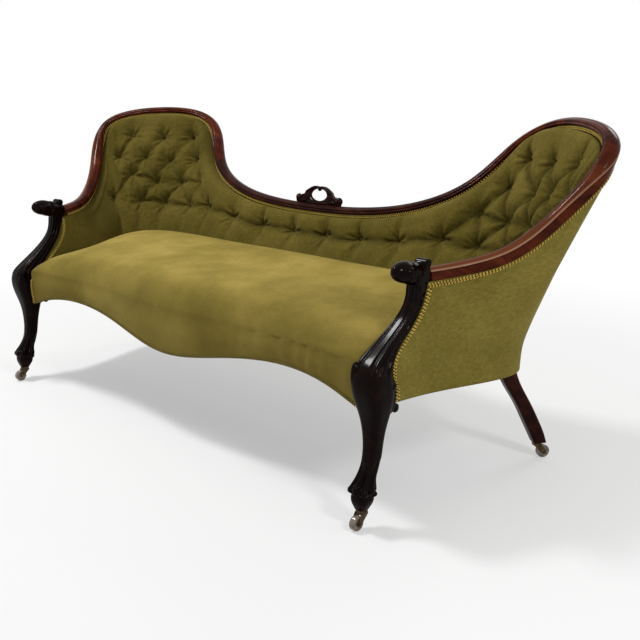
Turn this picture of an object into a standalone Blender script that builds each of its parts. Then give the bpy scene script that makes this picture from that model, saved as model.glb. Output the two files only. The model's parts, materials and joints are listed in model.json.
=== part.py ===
"""Double spoon-back settee in carved mahogany and buttoned velvet.

One moulded rail runs from arm to arm over two raised spoon ends. It carries a buttoned inside back and a
plain outside back, which wrap round a sprung seat with a wavy front apron. The front legs and the arm
supports are one S-shaped piece each, the rear legs sweep out and back, and all four stand on castors.

Units are metres and +Z is up. The sitter faces -Y, and the origin is on the floor under the middle.
"""

import math

import bmesh
import bpy
import numpy as np
from mathutils import Matrix, Vector
from mathutils.geometry import delaunay_2d_cdt

# Space left between pieces that touch on the real settee.
CLEAR = 0.0003
# Space left for the soft layers: under the curved rail, more for the inner ones, above the seat
# hessian, and behind the curved front leg.
RAIL_GAP = 0.0018
INNER_DROP = 0.0050
PAD_RISE = 0.0030
LEG_GAP = 0.0032

# Middle line of the show-wood rail, from the middle of the back to the right arm: x, y, z.
RAIL_LINE = (
    (0.000, 0.270, 0.604),
    (0.200, 0.266, 0.612),
    (0.396, 0.281, 0.644),
    (0.557, 0.329, 0.719),
    (0.658, 0.393, 0.827),
    (0.775, 0.392, 0.886),
    (0.910, 0.310, 0.895),
    (1.020, 0.213, 0.872),
    (1.045, 0.135, 0.807),
    (0.976, 0.061, 0.693),
    (0.905, -0.020, 0.612),
    (0.838, -0.108, 0.580),
    (0.798, -0.190, 0.571),
)
# Foot of the outside back under each point of the rail line: x, y.
BASE_LINE = (
    (0.000, 0.222),
    (0.200, 0.222),
    (0.390, 0.222),
    (0.540, 0.223),
    (0.655, 0.224),
    (0.748, 0.213),
    (0.826, 0.177),
    (0.871, 0.116),
    (0.880, 0.053),
    (0.866, -0.020),
    (0.839, -0.105),
    (0.812, -0.205),
    (0.797, -0.312),
)
BASE_Z = 0.285
# The outside back is upright over the seat frame, turns at this height and leans out to the rail.
LEAN_Z = 0.350
LEAN_ROUND = 0.040

# Show-wood rail, and how far its cover and the gimp beside it sit from its edges.
RAIL_HEIGHT = 0.034
RAIL_THICK = 0.042
COVER_SETBACK = 0.003
# Joints of the rail, as places along RAIL_LINE: centre rail to spoon rail, spoon rail to arm rail.
SPOON_JOINT = 3.0
ARM_JOINT = 8.5

# Section of the rail: shares of half its height, down, and of half its thickness, out. A rebate in its inner
# face takes the gimp.
REBATE_TOP = 0.30
REBATE_FACE = -0.46
RAIL_PROFILE = (
    (1.00, 0.95),
    (1.00, REBATE_FACE),
    (REBATE_TOP, REBATE_FACE),
    (REBATE_TOP, -0.94),
    (0.10, -1.00),
    (-0.12, -0.88),
    (-0.28, -0.93),
    (-0.65, -0.75),
    (-0.95, -0.35),
    (-0.97, 0.35),
    (-0.70, 0.80),
    (-0.15, 0.98),
    (0.60, 1.00),
)
# Step between the places that the layers of the back share, along RAIL_LINE.
PLACE_STEP = 0.5
# Places that are added where the rail turns most.
TIGHT_PLACES = (7.75, 8.25)
BACK_UPRIGHT = 2.0
# Heights at which the layers of the back bend, as shares of their way from the foot to the rail.
BACK_BENDS = (0.0, 0.15, 0.36, 0.58, 0.80, 1.0)
# Stretch of RAIL_LINE over which the back turns to follow the arm support.
ARM_BLEND = 2.0

# Layers of the back, from the outside in.
COVER_THICK = 0.0025
UPRIGHT_THICK = 0.0140
UPRIGHT_WIDTH = 0.045
HESSIAN_THICK = 0.0015
PAD_EDGE = 0.015
PAD_SEAT = 0.046
PAD_SWELL = 0.030
PAD_LIP = 0.030
# Share of the stuffing that is left at the arm support.
ARM_PAD = 0.35
# Height of back that swells in full.
SPOON_HEIGHT = 0.450

# Buttons of the right half of the inside back, in rows from the top: place along RAIL_LINE, share of the way
# up, and where a pleat runs from the button. Folds join each button to its neighbours in the next row.
BUTTON_ROWS = (
    ((4.70, 0.89, "rail"), (5.70, 0.86, "rail"), (6.60, 0.89, "rail")),
    ((4.15, 0.80, "rail"), (5.40, 0.72, ""), (6.20, 0.74, ""), (7.20, 0.78, "rail")),
    ((3.40, 0.77, "rail"), (4.65, 0.61, ""), (5.70, 0.59, ""), (6.70, 0.65, "")),
    ((2.70, 0.72, "both"), (3.75, 0.54, "seat"), (5.20, 0.47, "seat"), (6.30, 0.48, "seat"), (8.30, 0.62, "both")),
    ((0.36, 0.81, "both"), (1.09, 0.80, "both"), (1.85, 0.78, "both")),
)
FOLDED_ROWS = 4
BUTTON_DEPTH = 0.022
BUTTON_REACH = 0.020
BUTTON_LEFT = 0.011
FOLD_DEPTH = 0.010
FOLD_REACH = 0.013
# Points of the pad's mesh stand this far round each button, and its plain points keep away from the folds.
TUFT_RING = 0.021
TUFT_CLEAR = 0.030

# Seat frame.
SEAT_RAIL_THICK = 0.028
SEAT_RAIL_TOP = 0.375
FRONT_RAIL_THICK = 0.032
BLOCK_LEG = 0.070
BLOCK_HEIGHT = 0.050
REAR_BLOCK = 0.026
# The frame's underside lies this far above the lower edges of the covers.
UNDER_RISE = 0.004
WEB_STRAP = 0.050
WEB_COLUMNS = (-0.570, -0.380, -0.190, 0.000, 0.190, 0.380, 0.570)
WEB_ROWS = (-0.200, -0.060, 0.080)
WEB_TACK = 0.012
WEB_THICK = 0.0016
CLOTH_THICK = 0.0008

# Seat springs, two rows of coils tied between the webbing and the hessian.
SPRING_ROWS = (WEB_ROWS[0], WEB_ROWS[2])
SPRING_COLUMNS = WEB_COLUMNS[::2]
SPRING_RADIUS = 0.038
SPRING_WAIST = 0.026
SPRING_WIRE = 0.0022
SPRING_TURNS = 3
SPRING_STEPS = 8
SPRING_END_LIFT = 0.0050
SPRING_END_TURN = 0.75

# Stuffed seat and its apron over the front rail.
FRONT_Y = -0.346
FRONT_BULGE = 0.012
FRONT_WAVE = 0.420
APRON_THICK = 0.012
APRON_LINE = ((0.000, 0.252), (0.250, 0.287), (0.510, 0.314), (0.640, 0.301), (0.744, 0.272))
SEAT_EDGE = 0.028
SEAT_CROWN = 0.057
SEAT_BACK_RISE = 0.042
SEAT_GAP = 0.0015
# Rings of the seat's dome: share of its plan, and share of its crown.
SEAT_DOME = ((1.0, 0.0), (0.985, 0.22), (0.95, 0.40), (0.87, 0.60), (0.72, 0.80), (0.50, 0.93), (0.22, 1.0))

# Front leg and arm support: y, z, width along x, depth along y, from the arm to the castor.
LEG_X = 0.785
LEG_LINE = (
    (-0.224, 0.575, 0.036, 0.036),
    (-0.227, 0.535, 0.033, 0.032),
    (-0.238, 0.500, 0.034, 0.033),
    (-0.262, 0.468, 0.039, 0.041),
    (-0.291, 0.440, 0.046, 0.050),
    (-0.324, 0.411, 0.056, 0.060),
    (-0.350, 0.382, 0.067, 0.071),
    (-0.357, 0.345, 0.076, 0.077),
    (-0.351, 0.305, 0.072, 0.073),
    (-0.348, 0.265, 0.056, 0.056),
    (-0.350, 0.220, 0.041, 0.042),
    (-0.354, 0.175, 0.036, 0.037),
    (-0.365, 0.137, 0.037, 0.039),
    (-0.380, 0.110, 0.042, 0.046),
    (-0.386, 0.090, 0.046, 0.050),
    (-0.386, 0.070, 0.041, 0.044),
    (-0.388, 0.047, 0.030, 0.030),
)
# The arm support leans out sideways by this much between these heights.
LEG_SPLAY = 0.012
SPLAY_LOW = 0.400
SPLAY_HIGH = 0.540
LEG_SIDES = 16
LEG_RINGS = 26
LEG_SQUARENESS = 6.0
LEG_FLUTE = 0.10

# Arm scroll: how far in front of the end of the rail's middle line it starts, then its shape in y and z from
# there, with its two rolls: y, z, radius, length.
SCROLL_START = 0.004
SCROLL_WIDTH = 0.040
SCROLL_PROFILE = (
    (0.000, -0.012),
    (0.000, 0.018),
    (-0.016, 0.031),
    (-0.036, 0.029),
    (-0.058, 0.032),
    (-0.076, 0.035),
    (-0.076, -0.006),
    (-0.070, -0.010),
    (-0.058, -0.018),
    (-0.052, -0.026),
    (-0.024, -0.026),
    (-0.022, -0.012),
)
SCROLL_ROLLS = ((-0.015, 0.0205, 0.0140, 0.046), (-0.076, 0.0145, 0.0215, 0.046))
# Rolls of the toe, the heel and the knee bracket: height, front or rear side, how far their middles stand
# from the leg's face, radius, length.
LEG_ROLLS = (
    (0.100, -1, -0.0055, 0.011, 0.036),
    (0.078, 1, -0.0020, 0.009, 0.034),
    (0.270, 1, 0.0040, 0.011, 0.038),
)
ROLL_SIDES = 14

# Rear leg below the seat frame: sweep away from the seat corner, height and thickness.
REAR_CORNER = 5.8
REAR_LINE = (
    (0.000, 0.285, 0.040),
    (0.005, 0.255, 0.043),
    (0.022, 0.215, 0.043),
    (0.052, 0.165, 0.041),
    (0.078, 0.115, 0.041),
    (0.096, 0.078, 0.040),
    (0.109, 0.047, 0.036),
)
POST_SETBACK = 0.0047
REAR_RINGS = 12
REAR_CHAMFER = 0.003

# Castors.
WHEEL_RADIUS = 0.018
WHEEL_WIDTH = 0.016
WHEEL_SIDES = 16
WHEEL_ROUND = 0.003
PIN_SIDES = 10
CASTOR_TRAIL = 0.018
AXLE_RADIUS = 0.0025
AXLE_PROUD = 0.0008
FORK_CHEEK = 0.003
FORK_GAP = 0.0005
FORK_BOSS = 0.006
CROWN_RADIUS = 0.0125
CROWN_HEIGHT = 0.007
PINTLE_RADIUS = 0.004
PINTLE_HEAD = 0.0058
PLATE_RADIUS = 0.0145
PLATE_THICK = 0.0025
CASTOR_HEIGHT = 0.047
# The rear castors stand under the inner half of the leg's foot.
REAR_CASTOR_INSET = 0.003

# Pierced carving on the middle of the rail.
CREST_HALF = 0.102
CREST_HEIGHT = 0.058
CREST_THICK = 0.020
CREST_HOLE = 0.0205
CREST_HOLE_RISE = 0.0280
CREST_HOLE_STRETCH = 1.60
CREST_HOLE_SIDES = 20
# Top of the right half of the carving: shares of its half length and of its height.
CREST_PROFILE = (
    (0.00, 0.95),
    (0.05, 0.99),
    (0.16, 1.00),
    (0.28, 0.95),
    (0.40, 0.83),
    (0.52, 0.65),
    (0.62, 0.47),
    (0.71, 0.37),
    (0.80, 0.48),
    (0.90, 0.46),
    (0.98, 0.30),
    (1.00, 0.12),
    (0.97, 0.00),
)

# Braided gimp.
GIMP_WIDTH = 0.010
GIMP_THICK = 0.0024
GIMP_GAP = 0.0012
ARM_GIMP_SPLIT = 3

MAHOGANY = ("mahogany", (0.040, 0.013, 0.009), 0.22, 0.0)
BEECH = ("beech", (0.420, 0.270, 0.150), 0.60, 0.0)
VELVET = ("velvet", (0.190, 0.170, 0.045), 0.85, 0.0)
HESSIAN = ("hessian", (0.330, 0.235, 0.130), 0.95, 0.0)
BRAID = ("gimp_braid", (0.370, 0.300, 0.095), 0.70, 0.0)
BRASS = ("aged_brass", (0.210, 0.150, 0.075), 0.40, 1.0)
CERAMIC = ("castor_ceramic", (0.560, 0.500, 0.430), 0.18, 0.0)
STEEL = ("spring_steel", (0.300, 0.300, 0.310), 0.40, 1.0)
CLOTH = ("bottom_cloth", (0.020, 0.019, 0.018), 0.95, 0.0)


def material(finish):
    """The Principled material of a finish, made once."""
    name, colour, roughness, metallic = finish
    made = bpy.data.materials.get(name)
    if made is None:
        made = bpy.data.materials.new(name)
        made.use_nodes = True
        shader = made.node_tree.nodes["Principled BSDF"]
        shader.inputs["Base Color"].default_value = (*colour, 1.0)
        shader.inputs["Roughness"].default_value = roughness
        shader.inputs["Metallic"].default_value = metallic
        made.diffuse_color = (*colour, 1.0)
    return made


def place(name, mesh, finish, smooth=True):
    """Adds a mesh to the scene as a named piece."""
    if not mesh.materials:
        mesh.materials.append(material(finish))
    if smooth:
        mesh.shade_smooth()
        mesh.set_sharp_from_angle(angle=math.radians(35))
    piece = bpy.data.objects.new(name, mesh)
    bpy.context.scene.collection.objects.link(piece)
    return piece


def mesh_of(name, build):
    """A mesh made by build(bm), with its faces pointing out."""
    bm = bmesh.new()
    build(bm)
    bmesh.ops.triangulate(bm, faces=[f for f in bm.faces if len(f.verts) == 4])
    bmesh.ops.recalc_face_normals(bm, faces=bm.faces)
    mesh = bpy.data.meshes.new(name)
    bm.to_mesh(mesh)
    bm.free()
    return mesh


def mirrored_pair(name, mesh, finish):
    """The right-hand piece and its mirrored left-hand copy."""
    right = place(name + "_right", mesh, finish)
    left = place(name + "_left", mesh, finish)
    left.scale.x = -1
    return right, left


def helper(name, mesh):
    """A shape that only cuts or joins another piece."""
    made = bpy.data.objects.new(name, mesh)
    bpy.context.scene.collection.objects.link(made)
    made.hide_render = True
    made.display_type = "WIRE"
    return made


def combine(piece, other, operation):
    modifier = piece.modifiers.new(operation.lower() + "_" + other.name, "BOOLEAN")
    modifier.operation = operation
    modifier.object = other


def settled_mesh(piece):
    """The piece's mesh with its modifiers applied; the piece itself is removed."""
    bpy.context.view_layer.update()
    graph = bpy.context.evaluated_depsgraph_get()
    mesh = bpy.data.meshes.new_from_object(piece.evaluated_get(graph))
    helpers = [m.object for m in piece.modifiers if m.type == "BOOLEAN"]
    for used in [piece, *helpers]:
        bpy.data.objects.remove(used)
    return mesh


def loft(rings):
    """A closed solid through equal rings of points."""

    def build(bm):
        loops = [[bm.verts.new(p) for p in ring] for ring in rings]
        count = len(loops[0])
        for low, high in zip(loops, loops[1:]):
            for i in range(count):
                j = (i + 1) % count
                bm.faces.new((low[i], low[j], high[j], high[i]))
        bm.faces.new(loops[0])
        bm.faces.new(loops[-1])

    return build


def slab(front, back):
    """A closed solid between two grids of points of one size."""

    def build(bm):
        sheets = [[[bm.verts.new(p) for p in row] for row in grid] for grid in (front, back)]
        rows, columns = len(front), len(front[0])
        for sheet in sheets:
            for i in range(rows - 1):
                for j in range(columns - 1):
                    bm.faces.new((sheet[i][j], sheet[i + 1][j], sheet[i + 1][j + 1], sheet[i][j + 1]))
        edge = [(i, 0) for i in range(rows)]
        edge += [(rows - 1, j) for j in range(1, columns)]
        edge += [(i, columns - 1) for i in range(rows - 2, -1, -1)]
        edge += [(0, j) for j in range(columns - 2, 0, -1)]
        for (i, j), (k, l) in zip(edge, edge[1:] + edge[:1]):
            bm.faces.new((sheets[0][i][j], sheets[0][k][l], sheets[1][k][l], sheets[1][i][j]))

    return build


def prism(outline, low, high):
    """An outline of x, y points raised from low to high."""
    return loft([[(x, y, low) for x, y in outline], [(x, y, high) for x, y in outline]])


def turned(profile, sides, axis):
    """A profile of (radius, height) points, on the axis at both ends, spun about the axis."""

    def build(bm):
        turn = Vector((0, 0, 1)).rotation_difference(Vector(axis)).to_matrix()
        first = profile[0][0]
        points = [bm.verts.new(turn @ Vector((r, 0, h))) for r, h in profile]
        ends = zip(points, points[1:]) if first == 0 else zip(points, points[1:] + points[:1])
        edges = [bm.edges.new(pair) for pair in ends]
        bmesh.ops.spin(
            bm,
            geom=points + edges,
            cent=(0, 0, 0),
            axis=axis,
            angle=2 * math.pi,
            steps=sides,
            use_merge=True,
        )
        bmesh.ops.remove_doubles(bm, verts=bm.verts, dist=1e-6)

    return build


def drum(radius, length, sides, centre, axis):
    """A plain cylinder about a centre."""

    def build(bm):
        turn = Vector((0, 0, 1)).rotation_difference(Vector(axis)).to_matrix().to_4x4()
        bmesh.ops.create_cone(
            bm,
            cap_ends=True,
            segments=sides,
            radius1=radius,
            radius2=radius,
            depth=length,
            matrix=Matrix.Translation(centre) @ turn,
        )

    return build


def cubic_through(knots, values):
    """The natural cubic spline through values at the knots, as a function."""
    knots, values = np.array(knots, float), np.array(values, float)
    gaps, count = np.diff(knots), len(knots)
    system, right = np.eye(count), np.zeros_like(values)
    for i in range(1, count - 1):
        system[i, i - 1 : i + 2] = gaps[i - 1], 2 * (gaps[i - 1] + gaps[i]), gaps[i]
        slope_after = (values[i + 1] - values[i]) / gaps[i]
        slope_before = (values[i] - values[i - 1]) / gaps[i - 1]
        right[i] = 6 * (slope_after - slope_before)
    bend = np.linalg.solve(system, right)

    def at(u):
        i = int(np.clip(np.searchsorted(knots, u) - 1, 0, count - 2))
        a, b = knots[i + 1] - u, u - knots[i]
        h = gaps[i]
        curve = (bend[i] * a**3 + bend[i + 1] * b**3) / (6 * h)
        return curve + (values[i] / h - bend[i] * h / 6) * a + (values[i + 1] / h - bend[i + 1] * h / 6) * b

    return at


# The back is followed by u, which counts the points of RAIL_LINE from the middle, negative on the left.
ARM_END = len(RAIL_LINE) - 1
KNOTS = range(-ARM_END, ARM_END + 1)


def both_sides(line):
    return [(-p[0], *p[1:]) for p in reversed(line[1:])] + list(line)


RAIL_CURVE = cubic_through(KNOTS, both_sides(RAIL_LINE))
BASE_CURVE = cubic_through(KNOTS, both_sides(BASE_LINE))
LEG_CURVE = cubic_through([-z for _, z, _, _ in LEG_LINE], LEG_LINE)
APRON_CURVE = cubic_through(
    [x for x, _ in both_sides(APRON_LINE)], [z for _, z in both_sides(APRON_LINE)]
)
SMALL = 0.01


def mirrored(point):
    return Vector((-point[0], point[1], point[2]))


def smooth_step(x):
    x = min(max(x, 0.0), 1.0)
    return x * x * (3 - 2 * x)


def base_point(u, inset=0.0):
    """The foot line of the back at u, moved in square to it."""
    here = Vector((*BASE_CURVE(u), BASE_Z))
    run = Vector((*(BASE_CURVE(u + SMALL) - BASE_CURVE(u - SMALL)), 0)).normalized()
    return here + Vector((-run.y, run.x, 0)) * -inset


def rail_frame(u):
    """The rail's middle line at u, with its run, the way down the back, and the way out."""
    here = Vector(RAIL_CURVE(u))
    run = Vector(RAIL_CURVE(u + SMALL) - RAIL_CURVE(u - SMALL)).normalized()
    fall = base_point(u) - here
    down = (fall - run * fall.dot(run)).normalized()
    return here, run, down, run.cross(down)


def leg_rear(z):
    """Rear face of the front leg at a height."""
    y, _, _, depth = LEG_CURVE(-z)
    return y + depth / 2


def outside_top(u):
    here, _, down, out = rail_frame(u)
    return here + down * (RAIL_HEIGHT / 2 + RAIL_GAP) + out * (RAIL_THICK / 2 - COVER_SETBACK)


def near_arm(u):
    """0 along the back, rising to 1 at the arm support."""
    return smooth_step((u - ARM_END + ARM_BLEND) / ARM_BLEND)


def lean_at(z):
    """Way that the back has leaned out at a height, for a lean of 1 in 1."""
    above, foot = z - LEAN_Z, BASE_Z - LEAN_Z
    return (above + math.hypot(above, LEAN_ROUND) - foot - math.hypot(foot, LEAN_ROUND)) / 2


def outside(u, v):
    """The outside back: v is 0 at its foot and 1 under the rail. At the arm it follows the leg."""
    if u < 0:
        return mirrored(outside(-u, v))
    foot, top = base_point(u), outside_top(u)
    z = foot.z + (top.z - foot.z) * v
    lean = lean_at(z) / lean_at(top.z)
    here = Vector((*(foot.xy + (top.xy - foot.xy) * lean), z))
    if near_arm(u) > 0:
        end_foot, end_top = base_point(ARM_END), outside_top(ARM_END)
        end_y = end_foot.y + (end_top.y - end_foot.y) * lean
        here.y += near_arm(u) * (leg_rear(here.z) + LEG_GAP - end_y)
    return here


def way_out(u, v):
    """The way out through the back: level at its foot, square to the rail at its top."""
    if u < 0:
        return mirrored(way_out(-u, v))
    sideways = Vector((1, 0, 0))
    _, _, down, out = rail_frame(u)
    level = (base_point(u) - base_point(u, 1.0)).lerp(sideways, near_arm(u))
    square = out.lerp(sideways - down * sideways.dot(down), near_arm(u))
    return level.lerp(square, v * v).normalized()


def inside(u, v, depth):
    """A point of the back at a depth in from its outside, on facets between its bends."""
    row = int(np.clip(np.searchsorted(BACK_BENDS, v, "right") - 1, 0, len(BACK_BENDS) - 2))
    low, high = BACK_BENDS[row], BACK_BENDS[row + 1]
    below = outside(u, low) - way_out(u, low) * depth
    above = outside(u, high) - way_out(u, high) * depth
    return below.lerp(above, (v - low) / (high - low))


def back_levels(foot, split=1):
    """Heights from a foot up to the rail, through every facet edge of the back."""
    edges = [foot] + [bend for bend in BACK_BENDS if bend > foot + SMALL]
    levels = []
    for low, high in zip(edges, edges[1:]):
        levels += [low + (high - low) * k / split for k in range(split)]
    return levels + [1.0]


def inner_top(u):
    """The v at which the inner layers of the back end under the rail."""
    return 1 - INNER_DROP / ((outside(u, 1.0) - outside(u, 0.9)).length / 0.1)


def height_share(u, z):
    """The v at which the outside back reaches a height."""
    return (z - BASE_Z) / (outside_top(abs(u)).z - BASE_Z)


UPRIGHT_DEPTH = COVER_THICK + CLEAR
HESSIAN_DEPTH = UPRIGHT_DEPTH + UPRIGHT_THICK + CLEAR
PAD_DEPTH = HESSIAN_DEPTH + HESSIAN_THICK + CLEAR


def upright_places(u):
    """The two edges and the middle of an upright, as places along the back."""
    pace = (outside(u + SMALL, 0.5) - outside(u - SMALL, 0.5)).length / (2 * SMALL)
    half = UPRIGHT_WIDTH / 2 / pace
    return [u - half, u, u + half]


def back_places():
    """Places along the back that every layer shares, so that their facets lie parallel."""
    fixed = [SPOON_JOINT, ARM_JOINT, ARM_END, *TIGHT_PLACES]
    fixed += upright_places(BACK_UPRIGHT) + upright_places(REAR_CORNER)
    fixed += [-u for u in fixed]
    count = round(2 * ARM_END / PLACE_STEP) + 1
    spread = np.linspace(-ARM_END, ARM_END, count)
    free = [float(u) for u in spread if min(abs(u - f) for f in fixed) > PLACE_STEP / 3]
    return sorted(fixed + free)


PLACES = back_places()


def places_between(first, last):
    return [u for u in PLACES if first - SMALL / 2 <= u <= last + SMALL / 2]


def back_height(u):
    """Length of the back from the seat to the rail."""
    return (outside(u, 1.0) - outside(u, height_share(u, SEAT_RAIL_TOP))).length


def pad_thickness(u, v):
    """Stuffing of the inside back, without its buttons."""
    foot = height_share(u, SEAT_RAIL_TOP)
    share = min(max((v - foot) / (1 - foot), 0.0), 1.0)
    height = back_height(u)
    lip = smooth_step(((1 - share) * height - INNER_DROP) / PAD_LIP)
    fade = 1 + (ARM_PAD - 1) * near_arm(abs(u))
    swell = PAD_SWELL * min(height / SPOON_HEIGHT, 1.0) * math.sin(math.pi * share)
    return PAD_EDGE + lip * fade * ((PAD_SEAT - PAD_EDGE) * (1 - share) + swell)


def pad_surface(u, v):
    return inside(u, v, PAD_DEPTH + pad_thickness(u, v))


def front_y(x):
    """The wavy front of the seat."""
    return FRONT_Y - FRONT_BULGE * math.cos(math.pi * x / FRONT_WAVE)


def apron_low(x):
    return float(APRON_CURVE(x))


def frame_low(x):
    """Underside of the front rail."""
    return apron_low(x) + UNDER_RISE


def side_x(y):
    """The right side of the foot line at a y."""
    places = np.linspace(ARM_END, REAR_CORNER, 60)
    points = [BASE_CURVE(u) for u in places]
    return float(np.interp(y, [p[1] for p in points], [p[0] for p in points]))


def slide_to(point, run, plane_point, plane_normal):
    """Moves a point along a run until it lies in a plane."""
    return point + run * ((plane_point - point).dot(plane_normal) / run.dot(plane_normal))


RAIL_INSET = COVER_THICK + CLEAR
INNER_INSET = RAIL_INSET + SEAT_RAIL_THICK + CLEAR
SEAT_HALF = LEG_X - max(width for _, _, width, _ in LEG_LINE) / 2 - CLEAR
SIDE_LOW = BASE_Z + UNDER_RISE
SEAT_LOW = SEAT_RAIL_TOP + CLEAR + HESSIAN_THICK + CLEAR
LEG_BACK = max(leg_rear(z) for z in np.linspace(SIDE_LOW, SEAT_RAIL_TOP, 9)) + 2 * CLEAR
STRAP_EDGES = [x + side * WEB_STRAP / 2 for x in WEB_COLUMNS for side in (-1, 1)]
FRONT_REST = (SEAT_HALF + STRAP_EDGES[-1]) / 2
FRONT_PLACES = [-SEAT_HALF, -FRONT_REST, *STRAP_EDGES, FRONT_REST, SEAT_HALF]
ARM_Y, ARM_Z = RAIL_LINE[-1][1] - SCROLL_START, RAIL_LINE[-1][2]
REAR_OUT = (base_point(REAR_CORNER) - base_point(REAR_CORNER, 1.0)).normalized()
REAR_SIDE = Vector((REAR_OUT.y, -REAR_OUT.x, 0))
REAR_POST = base_point(REAR_CORNER, POST_SETBACK + REAR_LINE[0][2] / 2)


def rail_ring(u, section, shift=0.0):
    """A section that the rail carries at u, as lengths down from its middle line and out."""
    here, run, down, out = rail_frame(u)
    return [here + run * shift + down * d + out * n for d, n in section]


def rail_length(first, last):
    """A length of the moulded rail, with a joint gap at each end."""
    moulding = [(d * RAIL_HEIGHT / 2, n * RAIL_THICK / 2) for d, n in RAIL_PROFILE]
    rings = [rail_ring(u, moulding) for u in places_between(first, last)]
    rings[0] = rail_ring(first, moulding, CLEAR / 2)
    rings[-1] = rail_ring(last, moulding, -CLEAR / 2)
    return rings


def cut_at_scroll(ring):
    """Slides the ring at the end of an arm along the rail to the back of the arm scroll."""
    side = math.copysign(1.0, ring[0].x)
    run = rail_frame(side * ARM_END)[1]
    return [slide_to(p, run, Vector((0, ARM_Y + CLEAR, 0)), Vector((0, 1, 0))) for p in ring]


def make_rail():
    centre = mesh_of("centre_back_rail", loft(rail_length(-SPOON_JOINT, SPOON_JOINT)))
    place("centre_back_rail", centre, MAHOGANY)
    spoon = mesh_of("spoon_rail", loft(rail_length(SPOON_JOINT, ARM_JOINT)))
    mirrored_pair("spoon_rail", spoon, MAHOGANY)
    rings = rail_length(ARM_JOINT, ARM_END)
    rings[-1] = cut_at_scroll(rings[-1])
    mirrored_pair("arm_rail", mesh_of("arm_rail", loft(rings)), MAHOGANY)


def make_crest():
    """The pierced carving: two C-scrolls that meet over an oval opening, standing on the rail."""
    right = [(x * CREST_HALF, h * CREST_HEIGHT) for x, h in CREST_PROFILE]
    top = [(-x, h) for x, h in reversed(right[1:])] + right
    foot = [(x, 0.0) for x, _ in reversed(top[1:-1])]
    _, _, down, out = rail_frame(0.0)
    seat = RAIL_HEIGHT / 2 + CLEAR

    def on_rail(x, h, side):
        line = Vector(RAIL_CURVE(x / RAIL_LINE[1][0]))
        base = Vector((x, RAIL_LINE[0][1], line.z))
        return base - down * (seat + h) + out * (side * CREST_THICK / 2)

    rings = [[on_rail(x, h, side) for x, h in top + foot] for side in (-1, 1)]
    crest = place("crest_carving", mesh_of("crest_carving", loft(rings)), MAHOGANY)
    hole = drum(CREST_HOLE, 2 * CREST_THICK, CREST_HOLE_SIDES, (0, 0, 0), (0, 1, 0))
    cutter = helper("crest_hole", mesh_of("crest_hole", hole))
    cutter.location = on_rail(0.0, CREST_HOLE_RISE, 0)
    cutter.scale = (CREST_HOLE_STRETCH, 1, 1)
    combine(crest, cutter, "DIFFERENCE")


def leg_x(z):
    return LEG_X + LEG_SPLAY * smooth_step((z - SPLAY_LOW) / (SPLAY_HIGH - SPLAY_LOW))


def leg_ring(z):
    """Level section of the front leg: a rounded square with a hollow at each front corner."""
    y, _, width, depth = LEG_CURVE(-z)
    ring = []
    for i in range(LEG_SIDES):
        angle = 2 * math.pi * (i + 0.5) / LEG_SIDES
        c, s = math.cos(angle), math.sin(angle)
        reach = (abs(c) ** LEG_SQUARENESS + abs(s) ** LEG_SQUARENESS) ** (-1 / LEG_SQUARENESS)
        hollow = LEG_FLUTE * math.exp(-(((abs(c) - 0.55) / 0.2) ** 2)) * (1 if s < 0 else 0)
        reach *= 1 - hollow
        ring.append((leg_x(z) + c * reach * width / 2, y + s * reach * depth / 2, z))
    return ring


def make_front_legs():
    top, low = LEG_LINE[0][1], CASTOR_HEIGHT + CLEAR
    rings = [leg_ring(z) for z in np.linspace(top, low, LEG_RINGS)]
    leg = place("leg_blank", mesh_of("leg_blank", loft(rings)), MAHOGANY)
    outline = [(ARM_Y + dy, ARM_Z + dz) for dy, dz in SCROLL_PROFILE]
    sides = [leg_x(ARM_Z) + side * SCROLL_WIDTH / 2 for side in (-1, 1)]
    body = mesh_of("scroll_body", loft([[(x, y, z) for y, z in outline] for x in sides]))
    combine(leg, helper("scroll_body", body), "UNION")
    rolls = [(ARM_Y + dy, ARM_Z + dz, radius, length) for dy, dz, radius, length in SCROLL_ROLLS]
    for z, side, proud, radius, length in LEG_ROLLS:
        y, _, _, depth = LEG_CURVE(-z)
        rolls.append((y + side * (depth / 2 + proud), z, radius, length))
    for i, (y, z, radius, length) in enumerate(rolls):
        roll = mesh_of("roll", drum(radius, length, ROLL_SIDES, (leg_x(z), y, z), (1, 0, 0)))
        combine(leg, helper(f"roll_{i}", roll), "UNION")
    mirrored_pair("front_leg", settled_mesh(leg), MAHOGANY)


def make_rear_legs():
    curve = cubic_through([-z for _, z, _ in REAR_LINE], REAR_LINE)
    straight = REAR_LINE[0][1]
    rings = []
    for z in [SEAT_RAIL_TOP, *np.linspace(straight, CASTOR_HEIGHT + CLEAR, REAR_RINGS)]:
        sweep, _, thick = curve(-min(z, straight))
        centre = REAR_POST + REAR_OUT * sweep
        half, chamfer = thick / 2, REAR_CHAMFER
        corners = [(half, half - chamfer), (half - chamfer, half)]
        ring = []
        for a, b in ((1, 1), (-1, 1), (-1, -1), (1, -1)):
            pair = corners if a * b > 0 else corners[::-1]
            ring += [centre + REAR_SIDE * (a * p) + REAR_OUT * (b * q) for p, q in pair]
        rings.append([(p.x, p.y, z) for p in ring])
    mirrored_pair("rear_leg", mesh_of("rear_leg", loft(rings)), MAHOGANY)


def seat_rail(places, ends):
    """A rail of the seat frame along the foot line; ends are planes that cut it, or None."""
    rings = []
    for u in places:
        outer, inner = base_point(u, RAIL_INSET), base_point(u, RAIL_INSET + SEAT_RAIL_THICK)
        rings.append(
            [
                Vector((*outer.xy, SIDE_LOW)),
                Vector((*outer.xy, SEAT_RAIL_TOP)),
                Vector((*inner.xy, SEAT_RAIL_TOP)),
                Vector((*inner.xy, SIDE_LOW)),
            ]
        )
    for k, (point, normal) in zip((0, -1), ends):
        near = 1 if k == 0 else -2
        runs = [(b - a).normalized() for a, b in zip(rings[near], rings[k])]
        rings[k] = [slide_to(p, run, point, normal) for p, run in zip(rings[k], runs)]
    return rings


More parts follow.
